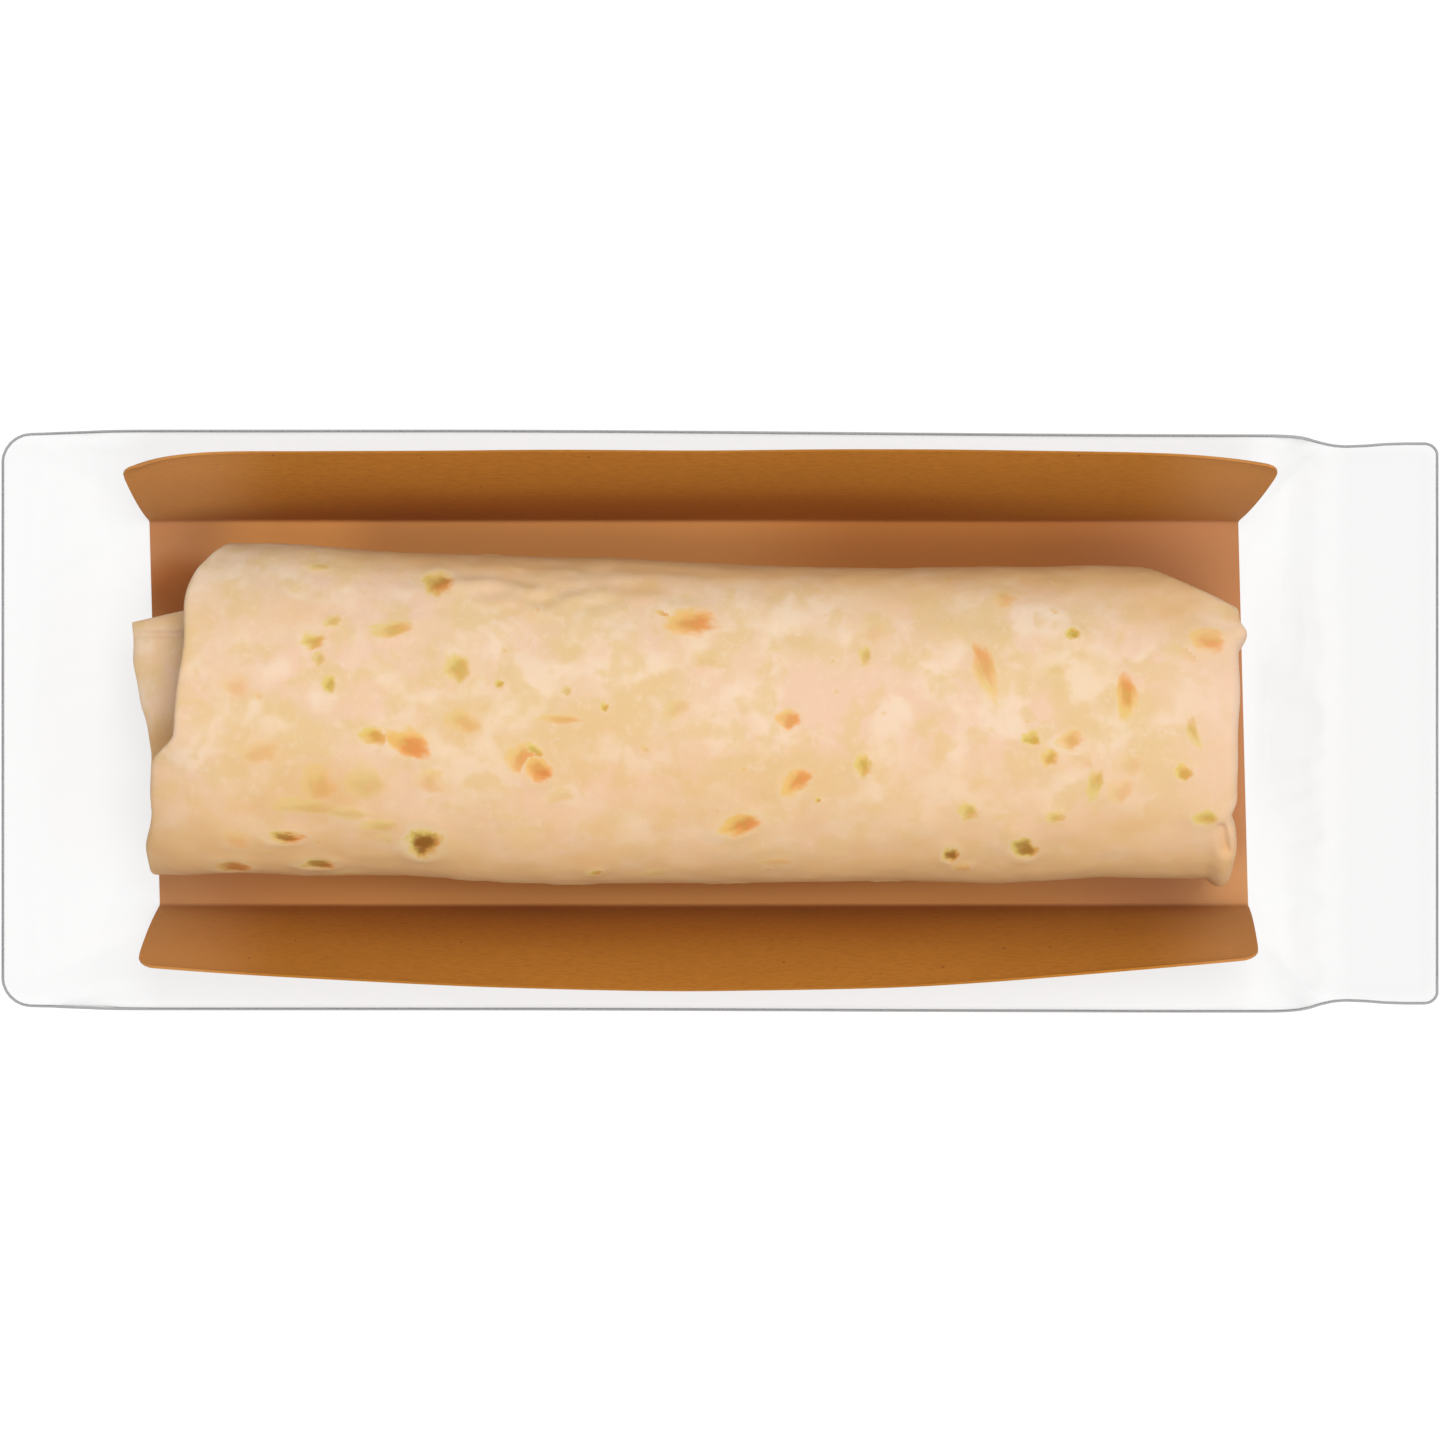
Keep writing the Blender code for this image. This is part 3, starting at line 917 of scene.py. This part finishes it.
def all_spots(roll):
    """Every toasted spot: centre, its two directions and half sizes, tone and strength."""
    draw = random.Random(MARK_SEED)
    marks = [
        (Vector((x * MM, y * MM, top_at(roll, x * MM, y * MM))),
         length * MM / 2, width * MM / 2, turn, tone, strength)
        for x, y, length, width, turn, tone, strength in TOASTED_SPOTS]
    for kind, (count, angles, tones, strengths) in RANDOM_SPOTS.items():
        for _ in range(count):
            x = draw.uniform(ROLL_LEFT, ROLL_RIGHT)
            angle = math.radians(draw.uniform(*angles))
            if kind == "hidden":
                size = draw.uniform(*HIDDEN_SPOT_SIZES)
            else:
                size = draw.choice(FAINT_SPOT_SIZES)
            marks.append((
                Vector((x, *section_point(roll, x, angle, 0.0))),
                size * MM, size * draw.uniform(*SPOT_WIDTHS) * MM, draw.uniform(*SPOT_TURNS),
                draw.uniform(*tones), draw.uniform(*strengths)))
    spots = []
    for centre, half_length, half_width, turn, tone, strength in marks:
        facing = outward_at(roll, centre)
        along = Vector((1.0, 0.0, 0.0))
        side = facing.cross(along).normalized()
        swing = math.radians(turn)
        spots.append({
            "centre": centre, "tone": tone, "strength": strength,
            "long": (along * math.cos(swing) + side * math.sin(swing)) / half_length,
            "short": (side * math.cos(swing) - along * math.sin(swing)) / half_width,
            "deep": facing / SPOT_DEPTH})
    return spots


def most_toasted(points, normals, spots):
    """For each point, which spot on its side of the sheet covers it the most, and how much."""
    chosen = np.zeros(len(points), int)
    most = np.zeros(len(points))
    for index, spot in enumerate(spots):
        offset = points - np.array(spot["centre"])
        sizes = [offset @ np.array(spot[way]) for way in ("long", "short", "deep")]
        distance = np.sqrt(sum(size ** 2 for size in sizes))
        here = spot["strength"] * np.clip(1.0 - distance / SPOT_REACH, 0.0, 1.0)
        here *= normals @ np.array(spot["deep"]) > 0.0
        chosen[here > most] = index
        most = np.maximum(most, here)
    return chosen, most


def values_of(items, name, width=1, kind=np.float32):
    """One property of every item of a mesh's collection, as an array."""
    values = np.empty(len(items) * width, kind)
    items.foreach_get(name, values)
    return values.reshape(-1, width) if width > 1 else values


def toast(piece, spots):
    """Mark the spots on a piece: where each corner lies in the spot that its face is in."""
    mesh = piece.data
    points = values_of(mesh.vertices, "co", 3)[values_of(mesh.loops, "vertex_index", 1, np.int32)]
    chosen, most = most_toasted(
        values_of(mesh.polygons, "center", 3), values_of(mesh.polygons, "normal", 3), spots)
    faces = np.repeat(np.arange(len(chosen)), values_of(mesh.polygons, "loop_total", 1, np.int32))
    spot = chosen[faces]

    def of_spots(key):
        return np.array([entry[key] for entry in spots])[spot]

    offset = points - of_spots("centre")
    place = np.stack([
        (offset * of_spots("long")).sum(axis=1), (offset * of_spots("short")).sum(axis=1),
        spot.astype(float)], axis=1)
    strength = of_spots("strength") * (most[faces] > 0.0)
    for name, kind, values in (
            ("spot", "FLOAT_VECTOR", place), ("strength", "FLOAT", strength),
            ("tone", "FLOAT", of_spots("tone"))):
        attribute = mesh.attributes.new(name, kind, "CORNER")
        field = "vector" if kind == "FLOAT_VECTOR" else "value"
        attribute.data.foreach_set(field, values.astype(np.float32).ravel())


def tan(piece, least=0.0):
    """Mark how tan a piece's dough is: low down on its sides, partly painted shade, and in broad
    patches, a few of them painted shade.
    """
    mesh = piece.data
    x, y, z = values_of(mesh.vertices, "co", 3).T
    far = np.clip(0.5 + y / TAN_CHANGE, 0.0, 1.0)
    top = mix(TAN_TOP["near"], TAN_TOP["far"], far)
    present = mix(1.0, np.clip((x - TAN_LEFT) / TAN_RUN_OUT, 0.0, 1.0), far)
    depth = mix(TAN_DEPTH["near"], TAN_DEPTH["far"], far)
    pale = 1.0 - present * np.clip((top - z) / depth, 0.0, 1.0)
    for along, across, length, width, strength in TAN_PATCHES:
        reach = ((x / MM - along) / length) ** 2 + ((y / MM - across) / width) ** 2
        pale *= 1.0 - strength * np.exp(-reach) * (z > TAN_PATCH_BASE)
    attribute = mesh.attributes.new("tan", "FLOAT", "POINT")
    attribute.data.foreach_set("value", np.maximum(1.0 - pale, least).astype(np.float32))


def raise_blisters(piece, roll, spots):
    """Lift the skin over the toasted spots, with a shallow dip in their middles."""
    mesh = piece.data
    _, most = most_toasted(
        values_of(mesh.vertices, "co", 3), values_of(mesh.vertices, "normal", 3), spots)
    for vert, warmth in zip(mesh.vertices, most):
        if warmth > 0.0:
            dip = BLISTER_DIP * ease(warmth * DIP_RISE - 1.0)
            lift = BLISTER_HEIGHT * ease(warmth * BLISTER_RISE) * (1.0 - dip)
            vert.co += outward_at(roll, vert.co) * lift


def flour_tortilla(roll):
    """Baked flour dough: soft, matt and a little translucent, blotched and toasted."""
    material, tree = new_material("flour_tortilla_baked")
    coords = add_node(tree, "TexCoord").outputs["Object"]
    along = add_node(tree, "SeparateXYZ", {"Vector": coords}).outputs["X"]
    spot, strength, tone, tan_share = (
        add_node(tree, "Attribute", attribute_name=name).outputs[socket]
        for name, socket in (
            ("spot", "Vector"), ("strength", "Fac"), ("tone", "Fac"), ("tan", "Fac")))
    clouds = {}
    for size, aside in CLOUDS_ASIDE.items():
        moved = add_node(tree, "Mapping", {"Vector": coords, "Location": [aside] * 3})
        clouds[size] = add_node(tree, "TexNoise", {
            "Vector": moved, "Scale": scale_of(size), "Detail": 2.5, "Distortion": 0.25})

    patches = [
        (clouds[size], start, full, most, rgba(getattr(roll, colour)))
        for size, start, full, most, colour in DOUGH_CLOUDS]
    warm_end = (along, 0.070, 0.086, 0.60, rgba(roll.pink_colour))
    dough = layered(tree, rgba(roll.crumb_colour), (*patches, warm_end))
    mottle = add_node(tree, "Math", {0: clouds[6.0], 1: 1.2, 2: 0.4}, operation="MULTIPLY_ADD")
    # Tan dough: partly its own colour, partly painted shade low on the sides and in a few patches.
    tanned = add_node(tree, "Math", {0: tan_share, 1: mottle},
                      operation="MULTIPLY", use_clamp=True)
    dough = add_node(tree, "Mix", {
        "Factor": tanned, "A": dough, "B": rgba(roll.tan_colour)}, data_type="RGBA")

    # The spot that a place lies in: its own two directions, with 1 at its edge.
    wobble = add_node(tree, "TexNoise", {
        "Vector": spot, "Scale": 0.8, "Detail": 3.0, "Roughness": 0.55}).outputs["Color"]
    wobbled = add_node(tree, "VectorMath", {
        0: wobble, 1: [SPOT_WOBBLE] * 3, 2: spot}, operation="MULTIPLY_ADD")
    centred = add_node(tree, "VectorMath", {
        0: wobbled, 1: [SPOT_WOBBLE / 2] * 3}, operation="SUBTRACT")
    flat = add_node(tree, "VectorMath", {0: centred, 1: (1.0, 1.0, 0.0)}, operation="MULTIPLY")
    reach = add_node(tree, "VectorMath", {0: flat}, operation="LENGTH")
    fray = add_node(tree, "Math", {
        0: clouds[0.9], 1: SPOT_FRAY, 2: -SPOT_FRAY / 2}, operation="MULTIPLY_ADD")
    distance = add_node(tree, "Math", {0: fray, 1: reach}, operation="ADD")
    # A spot's darkest place lies a little off its middle, and one side is browner.
    off_middle = add_node(
        tree, "VectorMath", {0: flat, 1: (0.32, -0.20, 0.0)}, operation="DISTANCE")
    lean = add_node(tree, "VectorMath", {0: flat, 1: (0.28, -0.16, 0.0)}, operation="DOT_PRODUCT")
    patchy = add_node(tree, "Math", {0: clouds[1.3], 1: 0.9, 2: -0.45}, operation="MULTIPLY_ADD")
    tone = add_node(tree, "Math", {0: tone, 1: patchy}, operation="ADD")
    tone = add_node(tree, "Math", {0: tone, 1: lean}, operation="ADD", use_clamp=True)
    body, middle = (
        add_node(tree, "Mix", {
            "Factor": tone, "A": rgba(yellow), "B": rgba(orange)}, data_type="RGBA")
        for yellow, orange in (
            (roll.olive_colour, roll.orange_colour), (roll.moss_colour, roll.brown_colour)))
    near_burnt = add_node(
        tree, "MapRange", {"Value": strength, "From Min": 1.0, "From Max": 1.25},
        interpolation_type="SMOOTHSTEP")
    # From a spot's glow inwards: how far each shade reaches, where it is full, and its most.
    baked = dough
    for value, start, full, most, weight, colour in (
            (distance, 2.20, 1.20, 0.30, strength, rgba(roll.yellow_colour)),
            (distance, 1.60, 1.15, 0.18, strength, rgba(roll.pale_colour)),
            (distance, 1.40, 0.75, 1.00, strength, body),
            (off_middle, 1.15, 0.20, 0.85, strength, middle),
            (distance, 1.10, 0.45, 0.95, near_burnt, rgba(roll.scorched_colour))):
        within = add_node(tree, "MapRange", {
            "Value": value, "From Min": start, "From Max": full, "To Max": most},
            interpolation_type="SMOOTHSTEP")
        share = add_node(tree, "Math", {0: within, 1: weight},
                         operation="MULTIPLY", use_clamp=True)
        baked = add_node(tree, "Mix", {"Factor": share, "A": baked, "B": colour}, data_type="RGBA")

    crumb = add_node(tree, "TexNoise", {
        "Vector": coords, "Scale": scale_of(0.55), "Detail": 3.0, "Distortion": 0.25})
    grain = add_node(tree, "Bump", {"Height": crumb, "Strength": 0.35, "Distance": 0.10 * MM})
    shader = add_node(tree, "BsdfPrincipled", {
        "Base Color": baked, "Roughness": 0.68, "Specular IOR Level": 0.28,
        "Subsurface Weight": 0.18, "Subsurface Radius": (1.0, 0.55, 0.3),
        "Subsurface Scale": 1.6 * MM, "Normal": grain})
    add_node(tree, "OutputMaterial", {"Surface": shader})
    return material


class WRAPPACK_OT_roll(bpy.types.Operator):
    """Roll the tortilla: body, open left mouth, folded right end and toasted spots"""

    bl_idname = "wrap_pack.roll"
    bl_label = "Make Roll"

    def execute(self, context):
        roll = context.scene.wrap_roll
        rings = roll_rings()

        def place(i, j):
            angle = (math.radians(-90) + math.tau * j / AROUND_STEPS) % math.tau
            point = tuck(roll_point(roll, rings[i], angle))
            if rings[i][0] not in ("mouth", "face"):
                facing = outward_at(roll, point)
                point += facing * (unevenness(roll, point, facing.z) - ear_crease(point))
            point.z = max(point.z, ROLL_BASE)
            return point

        bm = bent_sheet(len(rings) - 1, AROUND_STEPS, place)
        close_up(bm)
        piece = new_piece("tortilla_roll", bm, flour_tortilla(roll))
        spots = all_spots(roll)
        toast(piece, spots)
        tan(piece)
        raise_blisters(piece, roll, spots)
        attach(piece, "root")
        return {"FINISHED"}


# The folded side that sticks out of the roll's left mouth.
FLAP_NEAR = -0.0150
FLAP_FAR_ROOT = 0.0206
FLAP_FAR_NOSE = 0.0167
FLAP_NOSE_FAR = -0.1006
FLAP_NOSE_NEAR = -0.0972
NOSE_SLANT_START = 0.0120
NOSE_SLANT_REACH = 0.0190
FLAP_ROOT = -0.0830
FLAP_TOP = 0.0325
FLAP_HEIGHT = 0.0062
NOSE_THIN = 0.50
FLAP_FALL = 0.0040
FLAP_TILT = 0.0035
HEM_LINE = 0.0147
HEM_ROUND = 0.0045
HEM_RISE = 0.0005
HEM_CREASE = 0.0012
HEM_CREASE_WIDTH = 0.0006
# How round the flap's tube is along X and up Z: below 1 it is boxier than a circle.
FLAP_CURVES = (0.75, 0.80)
NEAR_TAPER = 0.006
LEAST_FULLNESS = 0.03
NOSE_SWAY = 0.0004
NOSE_SWAY_LENGTH = 0.005
FLAP_WAVE = 0.0005
FLAP_WAVE_LENGTH = 0.006
FLAP_TAN = 0.12
FLAP_ACROSS_STEPS = 110
FLAP_ROUND_STEPS = 90


def flap_point(i, j):
    """A point of the flap: a flattened tube lofted across the mouth, closed at its sides."""
    share = i / FLAP_ACROSS_STEPS
    turn = math.tau * j / FLAP_ROUND_STEPS
    across = curved(math.cos(turn), FLAP_CURVES[0])
    up = curved(math.sin(turn), FLAP_CURVES[1])
    out = (1.0 + across) / 2
    y = mix(FLAP_NEAR, mix(FLAP_FAR_ROOT, FLAP_FAR_NOSE, out), share)
    nose = mix(FLAP_NOSE_FAR, FLAP_NOSE_NEAR, ease((NOSE_SLANT_START - y) / NOSE_SLANT_REACH))
    nose += NOSE_SWAY * wander((y / NOSE_SWAY_LENGTH, 0.0, 11.0))
    x = mix(FLAP_ROOT, nose, out)
    from_far = mix(FLAP_FAR_ROOT, FLAP_FAR_NOSE, out) - y
    rounded = 1.0 - (1.0 - min(max(from_far / HEM_ROUND, 0.0), 1.0)) ** 2
    fullness = max(math.sqrt(rounded) * ease((y - FLAP_NEAR) / NEAR_TAPER), LEAST_FULLNESS)
    fullness *= 1.0 - NOSE_THIN * ease(out)
    middle = FLAP_TOP - FLAP_HEIGHT / 2 - FLAP_FALL * out * out - FLAP_TILT * ease(share)
    z = middle + up * fullness * FLAP_HEIGHT / 2
    if up > 0:
        rise = HEM_RISE * ease((y - HEM_LINE) / HEM_RISE + 0.5)
        z += up * (rise - HEM_CREASE * bell(y - HEM_LINE, HEM_CREASE_WIDTH))
    z += FLAP_WAVE * wander([value / FLAP_WAVE_LENGTH for value in (x, y, z)])
    return Vector((x, y, z))


class WRAPPACK_OT_flap(bpy.types.Operator):
    """Fold the side of the tortilla that sticks out of the left mouth"""

    bl_idname = "wrap_pack.flap"
    bl_label = "Make Flap"

    def execute(self, context):
        roll = context.scene.wrap_roll
        bm = bent_sheet(FLAP_ACROSS_STEPS, FLAP_ROUND_STEPS, flap_point)
        close_up(bm)
        material = bpy.data.materials["flour_tortilla_baked"]
        piece = new_piece("tortilla_flap", bm, material)
        toast(piece, all_spots(roll)[len(TOASTED_SPOTS):])
        tan(piece, FLAP_TAN)
        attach(piece, "root")
        return {"FINISHED"}


# --- Clear film ---

FILM_IOR = 1.5
SEAL_START = PACK_HIGH.x - 0.0160
DRAWN_START = -0.0500
DRAWN_END = 0.0900
DRAWN_ASIDE = 0.0006
DRAWN_SLIMMER = 0.004
FILM_LEFT_GATHER = -0.108
FILM_RIGHT_GATHER = 0.101
GATHER_REACH = 0.012
RIGHT_GATHER_SHARE = 0.7
PLEAT_LENGTH = 0.022
PLEAT_WIDTH = 0.0032
PLEAT_BASE = 0.009
PLEAT_RISE = 0.006
FAN_SWAY = 1.2
FAN_LENGTHS = (0.030, 0.016)
SLACK_SHARE = 0.28
SLACK_LENGTHS = (0.030, 0.012, 0.012)
BASE_HEIGHT = 0.0005
SMOOTH_LEVELS = 2
# How far two triangles may bend where they make one face, and how far off square it may be.
PAIR_BEND = math.radians(40)
PAIR_SHAPE = math.radians(80)
WELD_SEGMENTS = 3
OUTLINE_STEPS = 260
OUTLINE_MARGIN = 0.0005
FILM_CLEARANCE = 0.0003
LEAST_UPWARD = 0.2
RAY_START = PACK_HIGH.z + 0.05
FILM_CONTENTS = ("tortilla_roll", "tortilla_flap", "kraft_tray")


def merged_copy(node_name):
    """A copy of a CAD node's mesh with its triangles welded and paired up again."""
    bm = bmesh.new()
    bm.from_mesh(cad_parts[node_name].data)
    bmesh.ops.remove_doubles(bm, verts=bm.verts, dist=SAME_PLACE)
    for end in (PACK_LOW.x, PACK_HIGH.x):
        flush = [
            edge for edge in bm.edges
            if all(abs(vert.co.x - end) < SAME_PLACE
                   for face in edge.link_faces for vert in face.verts)]
        bmesh.ops.dissolve_edges(bm, edges=flush)
    bmesh.ops.join_triangles(
        bm, faces=bm.faces, angle_face_threshold=PAIR_BEND, angle_shape_threshold=PAIR_SHAPE)
    return bm


def smooth_out(piece):
    """Replace a piece's mesh by its own subdivision surface."""
    modifier = piece.modifiers.new("Smooth", "SUBSURF")
    modifier.levels = SMOOTH_LEVELS
    modifier.render_levels = SMOOTH_LEVELS
    evaluated = piece.evaluated_get(bpy.context.evaluated_depsgraph_get())
    mesh = bpy.data.meshes.new_from_object(evaluated)
    piece.modifiers.clear()
    piece.data = mesh


def drawn_aside(point):
    """Where a point of the pack comes to lie: its right part is drawn to the near side."""
    share = ease((point.x - DRAWN_START) / (DRAWN_END - DRAWN_START))
    y = point.y * (1.0 - DRAWN_SLIMMER * share) - DRAWN_ASIDE * share
    return Vector((point.x, y, point.z))


def film_gathers(film, point):
    """How far the film is drawn into pleats at a point, near either closed end."""
    left = bell(point.x - FILM_LEFT_GATHER, GATHER_REACH)
    right = bell(point.x - FILM_RIGHT_GATHER, GATHER_REACH * RIGHT_GATHER_SHARE)
    lift = ease((point.z - PLEAT_BASE) / PLEAT_RISE)
    fan = FAN_SWAY * wander((point.x / FAN_LENGTHS[0], point.y / FAN_LENGTHS[1], 1.5))
    pleats = wander((point.x / PLEAT_LENGTH, point.y / PLEAT_WIDTH + fan, 4.5))
    slack = wander([value / length for value, length in zip(point, SLACK_LENGTHS)])
    return film.wrinkle * (pleats * (left + right) * lift + SLACK_SHARE * abs(slack))


def clear_film(film):
    """Polypropylene film: clear, glossy and thin, so light goes straight through it."""
    material, tree = new_material("polypropylene_film_clear")
    facing = add_node(tree, "LayerWeight", {"Blend": 0.5}).outputs["Facing"]
    grazing = add_node(tree, "Math", {0: facing, 1: 5.0}, operation="POWER")
    head_on = ((FILM_IOR - 1) / (FILM_IOR + 1)) ** 2
    mirrored = add_node(tree, "Math", {0: grazing, 1: 1.0 - head_on, 2: head_on},
                        operation="MULTIPLY_ADD", use_clamp=True)
    coords = add_node(tree, "TexCoord").outputs["Object"]
    along = add_node(tree, "SeparateXYZ", {"Vector": coords}).outputs["X"]
    clearness = add_node(tree, "MapRange", {
        "Value": along, "From Min": SEAL_START - 4.0 * MM, "From Max": SEAL_START + 1.0 * MM,
        "To Min": film.clearness, "To Max": film.seal_clearness})
    through = add_node(tree, "BsdfTransparent", {"Color": clearness})
    gloss = add_node(tree, "BsdfAnisotropic", {
        "Color": rgba([film.mirror] * 3), "Roughness": film.roughness})
    surface = add_node(tree, "MixShader", {0: mirrored, 1: through, 2: gloss})
    add_node(tree, "OutputMaterial", {"Surface": surface})
    return material


def film_weld():
    """Melted film: a fine bead, coloured grey as painted shade for the light that it bends away."""
    material, tree = new_material("polypropylene_weld")
    through = add_node(tree, "BsdfTransparent", {"Color": rgba([0.8] * 3)})
    bead = add_node(tree, "BsdfPrincipled", {
        "Base Color": rgba(linear("8a8c8e")), "Roughness": 0.35})
    surface = add_node(tree, "MixShader", {0: 0.36, 1: through, 2: bead})
    add_node(tree, "OutputMaterial", {"Surface": surface})
    return material


def surface_of(piece):
    """A piece's surface, ready for rays to be cast at it."""
    bm = bmesh.new()
    bm.from_mesh(piece.data)
    surface = BVHTree.FromBMesh(bm)
    bm.free()
    return surface


def lift_clear(piece, others):
    """Raise a piece's upper side wherever other pieces would come through it."""
    surfaces = [surface_of(other) for other in others]
    upper = [vert for vert in piece.data.vertices if vert.normal.z > LEAST_UPWARD]
    for vert in upper:
        start = Vector((vert.co.x, vert.co.y, RAY_START))
        heights = [surface.ray_cast(start, DOWN)[0] for surface in surfaces]
        heights = [place.z + FILM_CLEARANCE for place in heights if place is not None]
        vert.co.z = max([vert.co.z, *heights])


def pack_outline():
    """The pack's outline as seen from above: its widest points, at places along X."""
    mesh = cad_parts[PACK_NODE].data
    corners = values_of(mesh.edges, "vertices", 2, np.int32)
    starts, ends = (values_of(mesh.vertices, "co", 3)[corners[:, end]] for end in (0, 1))
    middle = (PACK_LOW.x + PACK_HIGH.x) / 2
    reach = (PACK_HIGH.x - PACK_LOW.x) / 2 * (1.0 - OUTLINE_MARGIN)
    sides = {1.0: [], -1.0: []}
    for i in range(OUTLINE_STEPS + 1):
        x = middle - reach * math.cos(math.pi * i / OUTLINE_STEPS)
        crossing = (starts[:, 0] < x) != (ends[:, 0] < x)
        start, end = starts[crossing], ends[crossing]
        share = (x - start[:, :1]) / (end[:, :1] - start[:, :1])
        places = start + (end - start) * share
        for side, points in sides.items():
            points.append(places[np.argmax(places[:, 1] * side)])
    return sides[1.0] + sides[-1.0][::-1]


class WRAPPACK_OT_film(bpy.types.Operator):
    """Draw the clear film over the tray and the roll, and weld it shut"""

    bl_idname = "wrap_pack.film"
    bl_label = "Make Film"

    def execute(self, context):
        film = context.scene.wrap_film
        piece = new_piece("clear_film", merged_copy(PACK_NODE), clear_film(film))
        smooth_out(piece)
        normals = [vert.normal.copy() for vert in piece.data.vertices]
        for vert, normal in zip(piece.data.vertices, normals):
            if vert.co.z > BASE_HEIGHT:
                vert.co += normal * film_gathers(film, vert.co)
            vert.co = drawn_aside(vert.co)
        lift_clear(piece, [bpy.data.objects[name] for name in FILM_CONTENTS])
        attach(piece, "root")
        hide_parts(PACK_NODE)
        return {"FINISHED"}


class WRAPPACK_OT_weld(bpy.types.Operator):
    """Run the melted line round the pack's outline"""

    bl_idname = "wrap_pack.weld"
    bl_label = "Make Weld"

    def execute(self, context):
        film = context.scene.wrap_film
        outline = pack_outline()
        curve = bpy.data.curves.new("film_weld", "CURVE")
        curve.dimensions = "3D"
        curve.bevel_depth = film.weld_width / 2
        curve.bevel_resolution = WELD_SEGMENTS
        line = curve.splines.new("POLY")
        line.points.add(len(outline) - 1)
        for point, place in zip(line.points, outline):
            point.co = (*drawn_aside(Vector(place)), 1.0)
        line.use_cyclic_u = True
        carrier = bpy.data.objects.new("film_weld_line", curve)
        context.scene.collection.objects.link(carrier)
        evaluated = carrier.evaluated_get(context.evaluated_depsgraph_get())
        bm = bmesh.new()
        bm.from_mesh(evaluated.to_mesh())
        bpy.data.objects.remove(carrier, do_unlink=True)
        piece = new_piece("film_weld", bm, film_weld())
        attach(piece, "root")
        return {"FINISHED"}


# --- Stage ---

SENSOR_WIDTH = 36.0
FLOOR_SIZE = 6.0
FLOOR_GAP = 0.0001
LAMP_SIZE = (0.8, 0.5)
LAMP_PLACES = {"far": Vector((0.26, 0.42, 2.0)), "near": Vector((0.26, -0.52, 2.0))}


def pale_paper(stage):
    """Matt white paper on a light table: pale and even, with a little light from below."""
    material, tree = new_material("pale_paper_matt")
    shader = add_node(tree, "BsdfPrincipled", {
        "Base Color": rgba(stage.floor_colour), "Roughness": 0.9,
        "Specular IOR Level": 0.1, "Emission Color": rgba([1.0] * 3),
        "Emission Strength": stage.floor_glow})
    add_node(tree, "OutputMaterial", {"Surface": shader})
    return material


def soft_lamp(context, name, place, power):
    """A rectangular soft lamp that faces the pack."""
    lamp = bpy.data.lights.new(name, "AREA")
    lamp.shape = "RECTANGLE"
    lamp.size, lamp.size_y = LAMP_SIZE
    lamp.energy = power
    lamp_object = bpy.data.objects.new(name, lamp)
    lamp_object.location = place
    lamp_object.rotation_euler = (-place).to_track_quat("-Z", "Y").to_euler()
    # As with crossed polarisers, the film doesn't show the lamps' mirror images.
    lamp_object.visible_glossy = False
    context.scene.collection.objects.link(lamp_object)


class WRAPPACK_OT_stage(bpy.types.Operator):
    """Set up the floor, the soft light and the camera above the pack"""

    bl_idname = "wrap_pack.stage"
    bl_label = "Make Stage"

    def execute(self, context):
        stage = context.scene.wrap_stage
        bm = bmesh.new()
        bmesh.ops.create_grid(bm, x_segments=2, y_segments=2, size=FLOOR_SIZE / 2)
        bmesh.ops.translate(bm, verts=bm.verts, vec=(0.0, 0.0, PACK_LOW.z - FLOOR_GAP))
        new_piece("paper_floor", bm, pale_paper(stage))

        world = bpy.data.worlds.new("even_light")
        world.use_nodes = True
        sky = world.node_tree.nodes["Background"]
        sky.inputs["Color"].default_value = rgba([1.0] * 3)
        sky.inputs["Strength"].default_value = stage.sky_strength
        context.scene.world = world

        near_power = stage.lamp_power * stage.fill_share
        soft_lamp(context, "lamp_far", LAMP_PLACES["far"], stage.lamp_power)
        soft_lamp(context, "lamp_near", LAMP_PLACES["near"], near_power)

        lens = bpy.data.cameras.new("camera_above")
        lens.sensor_width = SENSOR_WIDTH
        lens.lens = SENSOR_WIDTH * stage.camera_height / stage.view_width
        lens.clip_end = 20.0
        camera = bpy.data.objects.new("camera_above", lens)
        camera.location = (0.0, 0.0, stage.camera_height)
        context.scene.collection.objects.link(camera)
        context.scene.camera = camera
        context.scene.view_settings.view_transform = "Standard"
        return {"FINISHED"}


class WRAPPACK_PT_panel(bpy.types.Panel):
    """Lists what the pack is made of, in the 3D view's sidebar"""

    bl_label = "Wrap Pack"
    bl_space_type = "VIEW_3D"
    bl_region_type = "UI"
    bl_category = "Wrap Pack"

    def draw(self, context):
        for name, (group, operators) in SECTIONS.items():
            box = self.layout.box()
            for setting in group.__annotations__:
                box.prop(getattr(context.scene, name), setting)
            for operator in operators:
                box.operator(operator.bl_idname)


# Each group of settings and the operators that use it, in the order in which they run.
SECTIONS = {
    "wrap_tray": (TraySettings, (WRAPPACK_OT_tray,)),
    "wrap_roll": (RollSettings, (WRAPPACK_OT_roll, WRAPPACK_OT_flap)),
    "wrap_film": (FilmSettings, (WRAPPACK_OT_film, WRAPPACK_OT_weld)),
    "wrap_stage": (StageSettings, (WRAPPACK_OT_stage,)),
}
CLASSES = [cls for group, operators in SECTIONS.values() for cls in (group, *operators)]
CLASSES.append(WRAPPACK_PT_panel)


def register():
    for cls in CLASSES:
        bpy.utils.register_class(cls)
    for name, (group, _) in SECTIONS.items():
        setattr(bpy.types.Scene, name, bpy.props.PointerProperty(type=group))


def unregister():
    for name in SECTIONS:
        delattr(bpy.types.Scene, name)
    for cls in reversed(CLASSES):
        bpy.utils.unregister_class(cls)


def main():
    """Register the add-on, then make every piece in order."""
    register()
    for _, operators in SECTIONS.values():
        for operator in operators:
            family, verb = operator.bl_idname.split(".")
            getattr(getattr(bpy.ops, family), verb)()


if __name__ == "__main__":
    main()
